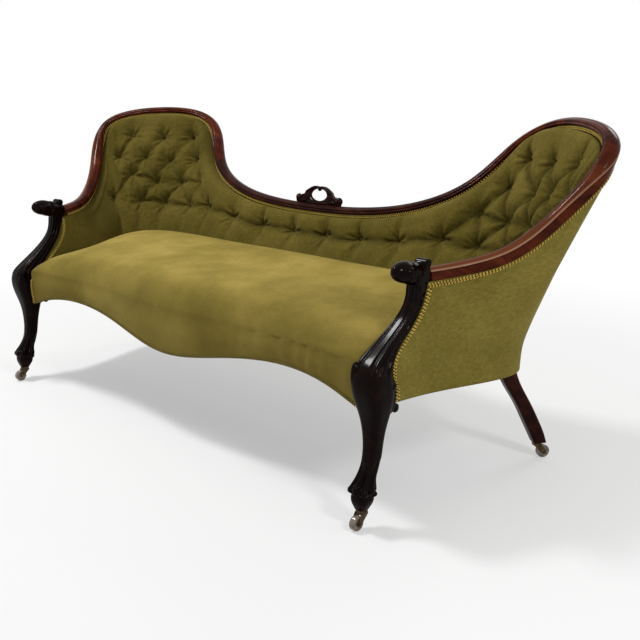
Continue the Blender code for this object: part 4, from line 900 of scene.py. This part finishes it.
def slab_piece(name, front, back):
    """A closed piece between two grids of as many rows. The hidden one may have fewer columns."""
    rows, wide, narrow = len(front), front.shape[1], back.shape[1]
    count = rows * wide
    faces = []
    for base, columns in ((0, wide), (count, narrow)):
        for i in range(rows - 1):
            first = base + i * columns
            faces += [(k, k + columns, k + columns + 1, k + 1) for k in range(first, first + columns - 1)]
    for i in range(rows - 1):
        first, last = (i * wide, count + i * narrow), ((i + 1) * wide - 1, count + (i + 1) * narrow - 1)
        faces += [(a, a + wide, b + narrow, b) for a, b in (first, last)]
    for i in (0, rows - 1):
        k = 0
        for j in range(wide - 1):
            a, b = i * wide + j, count + i * narrow + k
            faces.append((a, a + 1, b))
            if k * (wide - 1) < (j + 1) * (narrow - 1):
                faces.append((a + 1, b + 1, b))
                k += 1
    return piece_of(name, np.concatenate([front.reshape(-1, 3), back.reshape(-1, 3)]), faces)


outside_velvet = velvet(
    "outside_velvet", (0.098, 0.082, 0.015), (0.178, 0.144, 0.029), (0.275, 0.215, 0.05)
)
u_line = even_places(-ARM_END, ARM_END, COVER_STEP)
v_grid = np.linspace(0, 1, COVER_ROWS) * (1 + COVER_TUCK / back_pace(u_line))[:, None]
u_grid = np.repeat(u_line[:, None], COVER_ROWS, 1)
taut = RIPPLE * np.sin(u_grid * RIPPLES) * v_grid * (1 - v_grid) * 4
cover_face, cover_back = layer(u_grid, v_grid, -taut), layer(u_grid, v_grid, COVER_THICK - taut)
cover = slab_piece("velvet_outside_back", cover_face, cover_back)
dress(cover, outside_velvet, "outside_back_cover")


# Inside back. Velvet over curled hair is drawn back by buttons in a diamond pattern on the spoon ends and
# in one row along the low middle, with folds from button to button and pleats to the rail and the seat.
UPRIGHT_THICK, HESSIAN_THICK = 0.014, 0.0015
PAD_DEPTH = COVER_THICK + UPRIGHT_THICK + HESSIAN_THICK + 3 * JOINT_GAP
PAD_EDGE, PAD_SEAT, PAD_SWELL, PAD_LIP = 0.015, 0.046, 0.03, 0.034
PAD_ROLL, ROLL_REACH = 0.022, 0.15
ROLL_FROM, ROLL_TO = (1.4, 1.5), (6.4, 1.0)
ARM_PAD = 0.35
SPOON_HIGH = 0.45
INNER_DROP = 0.005
SEAT_TOP, PAD_FOOT = 0.375, 0.3801
PAD_STEP, PAD_ROWS, BACK_ROWS = 0.0039, 116, 8
ROWS_CROWD = 0.1
ROLL_OVER, ARM_ROLL_LESS = 0.014, 0.45
TUCK_UP, TUCK_OUT = 0.0052, 0.003
BUTTON_ROWS = (
    ((4.70, 0.89, "rail"), (5.70, 0.86, "rail"), (6.60, 0.89, "rail")),
    ((4.15, 0.80, "rail"), (5.40, 0.72, ""), (6.20, 0.74, ""), (7.20, 0.78, "rail")),
    ((3.40, 0.77, "rail"), (4.65, 0.61, ""), (5.70, 0.59, ""), (6.70, 0.65, "")),
    (
        (2.70, 0.72, "both"), (3.75, 0.54, "seat"), (5.20, 0.47, "seat"), (6.30, 0.48, "seat"),
        (8.30, 0.62, "both"),
    ),
    ((0.36, 0.81, "both"), (1.09, 0.80, "both"), (1.85, 0.78, "both")),
)
FOLDED_ROWS = 4
LEVEL_ROWS = ((2, 4), (3, 4), (4, 3))
FOLD_DEPTH, FOLD_REACH, FOLD_SHARP = 0.014, 0.034, 1.8
LEVEL_DEPTH = 0.014
PLEAT_DEPTH, PLEAT_FADE = 0.013, 0.4
DIMPLE, DIMPLE_REACH = 0.032, 0.028
LEAST_PAD = 0.006
PUFF = 0.014
ARM_FLAT = 0.8
PUCKER, PUCKER_AWAY, PUCKER_REACH = 0.0026, 0.024, 0.018
PUCKER_WAVES = ((1.0, 7, 2.4), (0.7, 11, 1.3))
EASE = 0.03
LEFT_FROM, LEFT_FADE, LEFT_SHADE = 0.2, 0.6, 0.28
CREASE_SHADE, CREASE_SHADE_LEFT_LESS, PIN_SHADE = 0.7, 0.3, 0.016
FOLD_SHADE_COLOUR = (0.022, 0.017, 0.0025, 1.0)
WANDER, WANDER_WAVES, WANDER_SWAY, SWAY_WAVES = 0.0035, 47, 2.1, 29


def back_height(u):
    return np.linalg.norm(outside(u, np.ones_like(u)) - outside(u, height_share(u, SEAT_TOP)), axis=-1)


def inner_top(u):
    return 1 - INNER_DROP / back_pace(u)


def under_edge(u, v):
    """How far a place lies below the upper edge of the stuffing."""
    foot = height_share(u, SEAT_TOP)
    return (1 - np.clip((v - foot) / (1 - foot), 0, 1)) * back_height(u) - INNER_DROP


def pad_thickness(u, v):
    """Stuffing of the inside back, without its buttons. Its upper edge is a full roll."""
    foot = height_share(u, SEAT_TOP)
    share = np.clip((v - foot) / (1 - foot), 0, 1)
    lip = np.sqrt(1 - (1 - np.clip(under_edge(u, v) / PAD_LIP, 0, 1)) ** 2)
    fade = 1 + (ARM_PAD - 1) * near_arm(u)
    swell = PAD_SWELL * np.minimum(back_height(u) / SPOON_HIGH, 1) * np.sin(np.pi * share)
    full = PAD_ROLL * (1 - smooth_step(under_edge(u, v) / ROLL_REACH))
    full = full * rise(np.abs(u), *ROLL_FROM) * fall(np.abs(u), *ROLL_TO)
    return PAD_EDGE + lip * fade * ((PAD_SEAT - PAD_EDGE) * (1 - share) + swell + full)


def pad_surface(u, v, more=0.0):
    return layer(u, v, PAD_DEPTH + pad_thickness(u, v) + more)


buttons, folds = [], []
for row in BUTTON_ROWS:
    for u, v, way in row:
        at = np.array([u])
        buttons.append((u, v))
        if way in ("rail", "both"):
            folds.append(((u, v), (u, float(inner_top(at)[0])), PLEAT_DEPTH, PLEAT_FADE))
        if way in ("seat", "both"):
            folds.append(((u, v), (u, float(height_share(at, PAD_FOOT)[0])), PLEAT_DEPTH, PLEAT_FADE))
for upper, lower in zip(BUTTON_ROWS[:FOLDED_ROWS], BUTTON_ROWS[1:FOLDED_ROWS]):
    for i, (u, v, _) in enumerate(upper):
        folds += [((u, v), near[:2], FOLD_DEPTH, 0.0) for near in lower[i : i + 2]]
for k, count in LEVEL_ROWS:
    for left, right in zip(BUTTON_ROWS[k], BUTTON_ROWS[k][1:count]):
        folds.append((left[:2], right[:2], LEVEL_DEPTH, 0.0))
folds.append((BUTTON_ROWS[4][-1][:2], BUTTON_ROWS[3][0][:2], LEVEL_DEPTH, 0.0))
folds.append((BUTTON_ROWS[4][0][:2], (-BUTTON_ROWS[4][0][0], BUTTON_ROWS[4][0][1]), LEVEL_DEPTH, 0.0))
buttons += [(-u, v) for u, v in buttons]
folds += [((-a[0], a[1]), (-b[0], b[1]), *values) for a, b, *values in folds]


def drawn_in(points, lines):
    """How far the cloth is drawn in along folds, and how near a fold it is: sharp there, round between."""
    deepest, nearest = np.zeros(len(points)), np.ones(len(points))
    for start, end, depth, fade in lines:
        first, last = pad_surface(np.array([start[0], end[0]]), np.array([start[1], end[1]]))
        way = last - first
        along = np.clip(((points - first) @ way) / (way @ way), 0, 1)
        away = np.linalg.norm(points - first - along[:, None] * way, axis=1)
        close, left = 1 - np.clip(away / FOLD_REACH, 0, 1), 1 - fade * along
        deepest = np.maximum(deepest, depth * close**FOLD_SHARP * left)
        nearest = np.minimum(nearest, 1 - close * left * depth / FOLD_DEPTH)
    return deepest, nearest


u_line = even_places(-ARM_END, ARM_END, PAD_STEP)
feet, heads = height_share(u_line, PAD_FOOT), inner_top(u_line)
rows = np.linspace(0, 1, PAD_ROWS)
rows = rows + ROWS_CROWD * np.sin(np.pi * rows) * rows
u_grid = np.repeat(u_line[:, None], PAD_ROWS, 1)
v_grid = feet[:, None] + (heads - feet)[:, None] * rows
plain = pad_surface(u_grid, v_grid).reshape(-1, 3)
sway = WANDER_SWAY * np.sin(plain[:, [1, 2, 0]] * SWAY_WAVES)
waves = np.sin(plain[:, [2, 0, 1]] * WANDER_WAVES + sway)
fold_in, fold_near = drawn_in(plain + WANDER * waves, folds)
pins = np.array(buttons)
pin_points = pad_surface(pins[:, 0], pins[:, 1])
away = np.linalg.norm(plain[:, None] - pin_points[None], axis=2)
near, nearest_pin = away.min(1), away.argmin(1)
button_in = DIMPLE * np.exp(-near / DIMPLE_REACH)
spread = plain - pin_points[nearest_pin]
along = unit(pad_surface(pins[:, 0] + 0.05, pins[:, 1]) - pad_surface(pins[:, 0] - 0.05, pins[:, 1]))
upward = unit(pad_surface(pins[:, 0], pins[:, 1] + 0.02) - pad_surface(pins[:, 0], pins[:, 1] - 0.02))
swirl = np.arctan2((spread * upward[nearest_pin]).sum(1), (spread * along[nearest_pin]).sum(1))
pucker = sum(share * np.cos(swirl * count + nearest_pin * turn) for share, count, turn in PUCKER_WAVES)
pucker = PUCKER * pucker * np.exp(-(((near - PUCKER_AWAY) / PUCKER_REACH) ** 2))
below = under_edge(u_grid, v_grid)
ease = smooth_step(below.reshape(-1) / EASE)
puffed = PUFF * (1 - ARM_FLAT * near_arm(u_grid).reshape(-1))
lift = (puffed - fold_in - button_in + pucker) * ease
lift = np.maximum(lift, LEAST_PAD - pad_thickness(u_grid, v_grid).reshape(-1))
lip = np.clip(below / PAD_LIP, 0, 1)
over = 4 * ROLL_OVER * lip * (1 - lip) * (1 - ARM_ROLL_LESS * near_arm(u_grid)) + TUCK_UP * (1 - lip) ** 2
over = over / back_pace(u_grid)
depth = PAD_DEPTH + pad_thickness(u_grid, v_grid) + lift.reshape(u_grid.shape) + TUCK_OUT * (1 - lip) ** 2
v_back = feet[:, None] + (heads - feet)[:, None] * np.linspace(0, 1, BACK_ROWS)
hidden = layer(np.repeat(u_line[:, None], BACK_ROWS, 1), v_back, np.full(v_back.shape, PAD_DEPTH))
pad = slab_piece("velvet_inside_back", layer(u_grid, v_grid + over, depth), hidden)
to_left = rise(-plain[:, 0], LEFT_FROM, LEFT_FADE)
# Painted shade: the velvet darkens along the folds and round the buttons, less deeply on the left.
crease_shade = np.minimum(1 - (CREASE_SHADE - CREASE_SHADE_LEFT_LESS * to_left) * (1 - fold_near), near / PIN_SHADE)
# Painted shade: the left of the inside back, away from the arm, is painted darker.
nap_and_shade = 1 - LEFT_SHADE * to_left * (1 - near_arm(u_grid.reshape(-1)))
for part, values in (("fold_shade", np.clip(crease_shade, 0, 1)), ("nap_and_shade", nap_and_shade)):
    mark(pad, part, np.concatenate([values, np.ones(v_back.size)]))
inside_velvet = velvet(
    "inside_velvet", (0.064, 0.051, 0.0085), (0.112, 0.087, 0.0155), (0.188, 0.144, 0.033)
)
# Painted shade in the folds and the painted darkening of the left side both draw the inside velvet towards
# the dark fold colour.
in_fold_shade = inside_velvet.attribute("fold_shade").between(0.0, 0.75) * inside_velvet.attribute("nap_and_shade")
inside_velvet.drive(base_color=in_fold_shade.tint(FOLD_SHADE_COLOUR, inside_velvet.colour))
dress(pad, inside_velvet, "back_pad")


# Buttons. Small domed moulds covered in the same velvet are pulled deep where the folds meet, each by a
# twine that goes through the stuffing and is tied off behind it.
BUTTON_RADIUS, BUTTON_RISE, BUTTON_PROUD = 0.0075, 0.0038, 0.003
bpy.ops.mesh.primitive_uv_sphere_add(segments=20, ring_count=12, radius=1)
mould = bpy.context.object
mould.data.transform(Matrix.Diagonal((BUTTON_RADIUS, BUTTON_RADIUS, BUTTON_RISE, 1)))
covered = []
for u, v in buttons:
    at_u, at_v = np.array([u]), np.array([v])
    sunk = max(PUFF - FOLD_DEPTH - DIMPLE, LEAST_PAD - float(pad_thickness(at_u, at_v)[0]))
    centre = pad_surface(at_u, at_v, np.array([sunk + BUTTON_PROUD]))[0]
    turn = Vector((0, 0, 1)).rotation_difference(Vector(-way_out(at_u, at_v)[0])).to_matrix().to_4x4()
    button = placed("button", mould.data.copy())
    button.data.transform(Matrix.Translation(centre) @ turn)
    covered.append(button)
bpy.data.objects.remove(mould)
button_set = joined("covered_buttons", covered)
button_set.data.shade_smooth()
button_set.select_set(False)
# The buttons' velvet is painted darker than the inside back's, as painted shade in their dimples.
shaded_button_velvet = velvet("shaded_button_velvet", (0.04, 0.032, 0.006), (0.07, 0.055, 0.011), (0.115, 0.09, 0.022))
dress(button_set, shaded_button_velvet)


# Seat. A deep sprung and stuffed seat, highest in the middle, whose velvet rolls over the front edge and
# hangs down over the front rail as a wavy apron.
FRONT_Y, FRONT_BULGE, FRONT_WAVE = -0.346, 0.012, 0.42
APRON_LINE = ((0.0, 0.252), (0.25, 0.287), (0.51, 0.314), (0.64, 0.301), (0.744, 0.272))
APRON_THICK, APRON_ROWS, APRON_BELLY = 0.012, 24, 0.005
KNEE_WIDE = 0.076
SEAT_HALF = LEG_X - KNEE_WIDE / 2 - JOINT_GAP
SEAT_LOW, SEAT_EDGE_Z = 0.3771, 0.396
SEAT_ROLL, SIDE_ROLL, FRONT_ROLL = 0.02, 0.045, 0.09
FRONT_DROP, FRONT_ROUND = 0.012, 0.14
FRONT_SHADE, SHADE_RIGHT, SHADE_WEIGHT = 0.11, 0.14, 0.5
SHADE_COLOUR = (0.085, 0.064, 0.01, 1.0)
SEAT_CROWN, SEAT_BACK_RISE, SEAT_DOME, SEAT_SQUARENESS = 0.05, 0.04, 5.0, 8
HOLLOW, PULL = 0.0016, 0.0019
PULL_FROM, PULL_END = (0.15, 0.35), 0.05
SEAT_COLUMNS, SEAT_ROWS = 240, 90
SEAT_GAP, SEAT_MEETS = 0.0015, 0.41
EDGE_STEP, EDGE_SHARE = 0.004, 0.2
BACK_CORNER = 5.6
apron_at = spline([x for x, _ in both_halves(APRON_LINE)], [z for _, z in both_halves(APRON_LINE)])


def front_y(x):
    return FRONT_Y - FRONT_BULGE * np.cos(np.pi * x / FRONT_WAVE)


def seat_side(u):
    """Where the seat meets the inside back."""
    u = np.asarray(u, float)
    return pad_surface(u, height_share(u, np.full(u.shape, SEAT_MEETS)), SEAT_GAP)[..., :2]


def spaced(line, shares):
    """Points at shares of the length of a line."""
    way = lengths_along(line)
    return np.column_stack([np.interp(shares, way / way[-1], line[:, k]) for k in range(line.shape[1])])


s_line, t_line = np.linspace(0, 1, SEAT_COLUMNS), np.linspace(0, 1, SEAT_ROWS)
t_line = 0.5 - 0.5 * np.cos(np.pi * t_line)
x_front = -SEAT_HALF + 2 * SEAT_HALF * s_line
front_edge = np.column_stack([x_front, front_y(x_front)])
back_edge = spaced(seat_side(even_places(-BACK_CORNER, BACK_CORNER, EDGE_STEP, EDGE_SHARE)), s_line)
side_edge = seat_side(even_places(BACK_CORNER, ARM_END - 0.02, EDGE_STEP, EDGE_SHARE))[::-1]
right_edge = spaced(np.concatenate([[[SEAT_HALF, front_y(SEAT_HALF)]], side_edge]), t_line)
left_edge = right_edge * (-1, 1)
s, t = s_line[:, None, None], t_line[None, :, None]
plan = (1 - t) * front_edge[:, None] + t * back_edge[:, None]
plan = plan + (1 - s) * left_edge[None] + s * right_edge[None]
plan = plan - (1 - s) * (1 - t) * front_edge[0] - s * (1 - t) * front_edge[-1]
plan = plan - (1 - s) * t * back_edge[0] - s * t * back_edge[-1]
s, t = s_line[:, None], t_line[None, :]
from_middle, from_centre = np.abs(2 * s - 1), np.abs(2 * t - 1)
outer = (from_middle**SEAT_SQUARENESS + from_centre**SEAT_SQUARENESS) ** (1 / SEAT_SQUARENESS)
dome = 1 - np.clip(outer, 0, 1) ** SEAT_DOME


def round_over(share):
    return np.sqrt(1 - (1 - np.clip(share, 0, 1)) ** 2)


edge_roll = round_over((1 - from_middle) / SIDE_ROLL) * round_over((1 - from_centre) / FRONT_ROLL)
height = SEAT_EDGE_Z + SEAT_ROLL * edge_roll + SEAT_CROWN * dome
height = height + SEAT_BACK_RISE * smooth_step(t) * np.clip(outer + 0.1, 0, 1)
height = height - FRONT_DROP * (1 - smooth_step(t / FRONT_ROUND)) ** 1.5
hollows = np.sin(plan[..., 0] * 9 + 1.2) * np.sin(plan[..., 1] * 13 + plan[..., 0] * 4)
height = height + HOLLOW * hollows * dome
top = np.concatenate([plan, height[..., None]], -1)
apron_low = apron_at(x_front)[:, 0]
pulls = np.sin(x_front * 105 + 1.7 * np.sin(x_front * 23)) + 0.6 * np.sin(x_front * 61)
pulls = PULL * pulls * rise(x_front, *PULL_FROM) * fall(x_front, SEAT_HALF, PULL_END)
apron = []
for share in np.linspace(0, 1, APRON_ROWS, endpoint=False):
    belly = APRON_BELLY * math.sin(math.pi * share) ** 2
    z = apron_low + (SEAT_EDGE_Z - FRONT_DROP - apron_low) * share
    apron.append(np.column_stack([x_front, front_y(x_front) - belly + pulls * smooth_step(share * 2), z]))
face = np.concatenate([np.stack(apron, 1), top], 1)
under = face.copy()
behind = (front_y(x_front) + APRON_THICK)[:, None]
under[:, :APRON_ROWS, 1] = behind
under[:, APRON_ROWS:, 1] = np.maximum(under[:, APRON_ROWS:, 1], behind)
under[:, APRON_ROWS:, 2] = SEAT_LOW
seat = slab_piece("velvet_seat", face, under)
seat_velvet = velvet(
    "seat_velvet", (0.165, 0.126, 0.025), (0.272, 0.205, 0.045), (0.4, 0.3, 0.078),
    brushed=0.2, patchy=0.55,
)
spots = np.empty(len(seat.data.vertices) * 3, np.float32)
seat.data.vertices.foreach_get("co", spots)
spots = spots.reshape(-1, 3)
hangs = 1 - rise(spots[:, 1], front_y(spots[:, 0]), FRONT_SHADE)
hangs = hangs * (1 + SHADE_RIGHT * spots[:, 0] / SEAT_HALF)
mark(seat, "hangs", hangs)
against = seat_velvet.attribute("hangs") * SHADE_WEIGHT
seat_velvet.drive(base_color=against.tint(seat_velvet.colour, SHADE_COLOUR))
dress(seat, seat_velvet, "seat_pad")


# Gimp. A narrow gold braid of two knotted cords on a dark ribbon covers the tacks along both edges of the
# rail, down the arm supports and along the apron.
GIMP_WIDTH = 0.012
GIMP_PERIOD, GIMP_APART = 0.0082, 0.0029
KNOT, NECK = 0.0035, 0.0014
CORD_RISE, CORD_FLAT = 0.0012, 0.8
RIBBON_SHARE, RIBBON_THICK = 0.8, 0.0006
GIMP_SIDES, GIMP_STEPS = 6, 8
REBATE_DOWN, REBATE_IN = 0.3, 0.46
REBATE_CLEAR, REBATE_PROUD = 0.0012, 0.003
GIMP_UP_SHARE, GIMP_UP_POINTS = 0.75, 40
GIMP_ASIDE, FIRST_BEND, SECOND_BEND = 0.01, (0.41, 0.06), (0.35, 0.04)


def gold_braid(name, deep, mid, pale):
    """Twisted thread: gold on the knots; the dark between them is the ribbon's own colour and, on the
    cords' necks, painted shade.
    """
    made = Finish(name, roughness=0.75, specular_ior_level=0.1)
    strand = made.place.noise(900, 2, 0.6)
    dulled = made.place.noise(22, 3)
    gold = (strand * 0.6 + dulled * 0.4).ramp((0.32, deep), (0.52, mid), (0.74, pale))
    # Painted shade: the cords darken from the knots towards their necks.
    made.drive(
        base_color=made.attribute("raised_and_lit").between(0.15, 0.8).tint((0.06, 0.044, 0.008, 1.0), gold),
        normal=strand.bump(0.5, 0.0005),
    )
    return made


braid = gold_braid("gimp_braid", (0.33, 0.225, 0.042), (0.58, 0.41, 0.08), (0.82, 0.62, 0.165))
# A darker copy of the gold braid, for the gimp along the apron, as painted shade low on the front.
shaded_braid = gold_braid("gimp_shaded", (0.12, 0.092, 0.02), (0.21, 0.162, 0.04), (0.32, 0.25, 0.075))


def gimp(name, node, middle, across, outward, size=1.0, finish=braid):
    """A braid along a line of points, with the way across it and the way out at each."""
    way = lengths_along(middle)
    places = np.linspace(0, way[-1], round(way[-1] / GIMP_PERIOD * GIMP_STEPS) + 1)

    def along(values):
        return np.column_stack([np.interp(places, way, part) for part in values.T])

    line, side, up = along(middle), unit(along(across)) * size, unit(along(outward)) * size
    phase = 2 * np.pi * places / GIMP_PERIOD
    turn = 2 * np.pi * np.arange(GIMP_SIDES) / GIMP_SIDES
    half, thick = RIBBON_SHARE, RIBBON_THICK
    flat = ((-half, 0.0), (half, 0.0), (half, thick), (-half, thick))
    ribbon = np.stack([line + side * (a * GIMP_WIDTH / 2) + up * b for a, b in flat], 1)
    points, faces = [ribbon.reshape(-1, 3)], tube_faces(len(line), 4)
    raised_and_lit = [np.zeros(len(points[0]))]
    for edge in (-1, 1):
        knot = 0.5 + 0.5 * np.cos(phase + edge * np.pi / 2)
        radius = NECK + (KNOT - NECK) * knot
        path = line + side * (edge * GIMP_APART) + up * CORD_RISE
        rings = path[:, None] + side[:, None] * (radius[:, None] * np.cos(turn))[..., None]
        rings = rings + up[:, None] * (radius[:, None] * CORD_FLAT * np.sin(turn))[..., None]
        base = sum(len(part) for part in points)
        points.append(rings.reshape(-1, 3))
        raised_and_lit.append(np.repeat(knot, GIMP_SIDES))
        faces += [tuple(base + k for k in face) for face in tube_faces(len(path), GIMP_SIDES)]
    made = piece_of(name, np.concatenate(points), faces)
    mark(made, "raised_and_lit", np.concatenate(raised_and_lit))
    dress(made, finish, node)


fine = even_places(-ARM_END, ARM_END, 0.004, 1.0)
high_v, low_v = np.ones_like(fine), 1 - GIMP_WIDTH / back_pace(fine)
middle_v = (high_v + low_v) / 2
across = outside(fine, low_v) - outside(fine, high_v)
gimp("gimp_outside_rail", "gimp_outer_rail", outside(fine, middle_v), across, way_out(fine, middle_v))

fine = fine[np.abs(fine) < ARM_END - 0.05]
here, down, out = rail_frame(fine)
rebate = here + down * (REBATE_DOWN * RAIL_HIGH / 2 + REBATE_CLEAR + GIMP_WIDTH / 2)
rebate = rebate - out * (REBATE_IN * RAIL_DEEP / 2 + REBATE_PROUD)
gimp("gimp_inside_rail", "gimp_inner_rail", rebate, down, -out, 0.8)

x_line = np.linspace(-SEAT_HALF + GIMP_WIDTH / 2, SEAT_HALF - GIMP_WIDTH / 2, 400)
low_edge = np.column_stack([x_line, front_y(x_line) - 0.001, apron_at(x_line)[:, 0] + 0.0036])
along = unit(np.gradient(low_edge, axis=0))
forward = np.tile((0, -1.0, 0), (len(low_edge), 1))
gimp("gimp_apron", "gimp_front", low_edge, np.cross(forward, along), forward, 0.7, shaded_braid)

share = np.linspace(0, GIMP_UP_SHARE, GIMP_UP_POINTS)
for side, sign in SIDES:
    upright = np.repeat(low_edge[-1:] * (sign, 1, 1), GIMP_UP_POINTS, 0)
    upright[:, 1] -= APRON_BELLY * np.sin(np.pi * share) ** 2
    upright[:, 2] += (SEAT_EDGE_Z - FRONT_DROP - upright[:, 2]) * share
    sideways = np.tile((1.0, 0, 0), (GIMP_UP_POINTS, 1))
    gimp("gimp_apron_end_" + side, None, upright, sideways, forward[:GIMP_UP_POINTS])

for side, sign in SIDES:
    at = np.full(120, sign * ARM_END)
    v_line = np.linspace(float(height_share(at[:1], 0.405)[0]), float(inner_top(at[:1])[0]), 120)
    proud = PUFF * (1 - ARM_FLAT * near_arm(at)) * smooth_step(under_edge(at, v_line) / EASE)
    edge, further = pad_surface(at, v_line, proud), pad_surface(at - sign * 0.1, v_line, proud)
    aside, facing = unit(further - edge), -way_out(at, v_line)
    middle = edge + aside * (GIMP_WIDTH / 2) + facing * 0.001
    gimp("gimp_inside_arm_" + side, None, middle, aside, facing)

top_v = float(1 - (GIMP_WIDTH + 0.002) / back_pace(np.array([float(ARM_END)]))[0])
v_line = np.linspace(0.01, top_v, 160)
for side, sign in SIDES:
    u_here = np.full_like(v_line, sign * ARM_END)
    edge = outside(u_here, v_line)
    inward = unit(outside(u_here - sign * 0.2, v_line) - edge)
    aside = GIMP_ASIDE * (fall(edge[:, 2:], *FIRST_BEND) + fall(edge[:, 2:], *SECOND_BEND))
    middle = edge + inward * (GIMP_WIDTH / 2 + aside)
    gimp("gimp_arm_support_" + side, "gimp_arm_" + side, middle, inward, np.tile((sign, 0, 0), (160, 1)))


# Floor, light and camera. A pale seamless floor that fades into a white studio, one large soft light above
# the front and weaker ones at the sides, seen from where the photograph was taken.
FLOOR_NEAR, FLOOR_FAR = 0.9, 2.6
DOME_LIGHT = 0.4
CAMERA_PLACE, CAMERA_DIP, CAMERA_TURN = (2.0409, -1.8139, 0.9884), 14.52, 44.27
bpy.ops.mesh.primitive_plane_add(size=60)
floor = bpy.context.object
floor.name = "studio_floor"
paper = Finish("studio_paper", roughness=0.9, base_color=(0.86, 0.86, 0.86, 1.0))
paper.on(floor)
distance = paper.place.add("ShaderNodeVectorMath", {0: paper.place}, output="Value", operation="LENGTH")


def seen(wire):
    """1 for rays from the camera and in reflections."""
    names = ("Is Camera Ray", "Is Glossy Ray", "Is Transmission Ray")
    rays = [wire.add("ShaderNodeLightPath", output=name) for name in names]
    return (rays[0] + rays[1] + rays[2]).math("MINIMUM", 1.0)


white = paper.place.add("ShaderNodeEmission", {"Color": (1, 1, 1, 1), "Strength": 1.0})
lit = Wire(paper.tree, paper.shader.outputs[0])
fade = (distance.between(FLOOR_NEAR, FLOOR_FAR) * 0.6 + 0.4) * seen(paper.place)
blended = paper.place.add("ShaderNodeMixShader", {0: fade, 1: lit, 2: white})
paper.tree.links.new(blended.socket, paper.tree.nodes["Material Output"].inputs["Surface"])

scene = bpy.context.scene
scene.view_settings.view_transform = "Standard"
scene.world = bpy.data.worlds.new("studio")
scene.world.use_nodes = True
tree = scene.world.node_tree
sky = tree.nodes["Background"]
sky.inputs["Color"].default_value = (1, 1, 1, 1)
strength = seen(Wire(tree, sky.outputs[0])) * (1 - DOME_LIGHT) + DOME_LIGHT
tree.links.new(strength.socket, sky.inputs["Strength"])


def lamp(name, place, target, size, power):
    light = bpy.data.lights.new(name, "AREA")
    light.shape, light.energy = "RECTANGLE", power
    light.size, light.size_y = size
    made = bpy.data.objects.new(name, light)
    scene.collection.objects.link(made)
    made.location = place
    made.rotation_euler = (Vector(target) - Vector(place)).to_track_quat("-Z", "Y").to_euler()


lamp("key", (-1.4, -1.0, 3.3), (0.0, 0.0, 0.4), (0.7, 0.45), 80)
lamp("right", (3.2, -0.8, 2.4), (0.6, 0.0, 0.5), (0.45, 0.6), 34)
lamp("back", (0.5, 3.0, 2.6), (0.0, 0.2, 0.6), (1.4, 0.7), 16)

lens = bpy.data.cameras.new("photograph")
lens.lens, lens.sensor_width = 50.6, 36.0
camera = bpy.data.objects.new("photograph", lens)
scene.collection.objects.link(camera)
camera.location = CAMERA_PLACE
camera.rotation_euler = (math.radians(90 - CAMERA_DIP), 0, math.radians(CAMERA_TURN))
scene.camera = camera
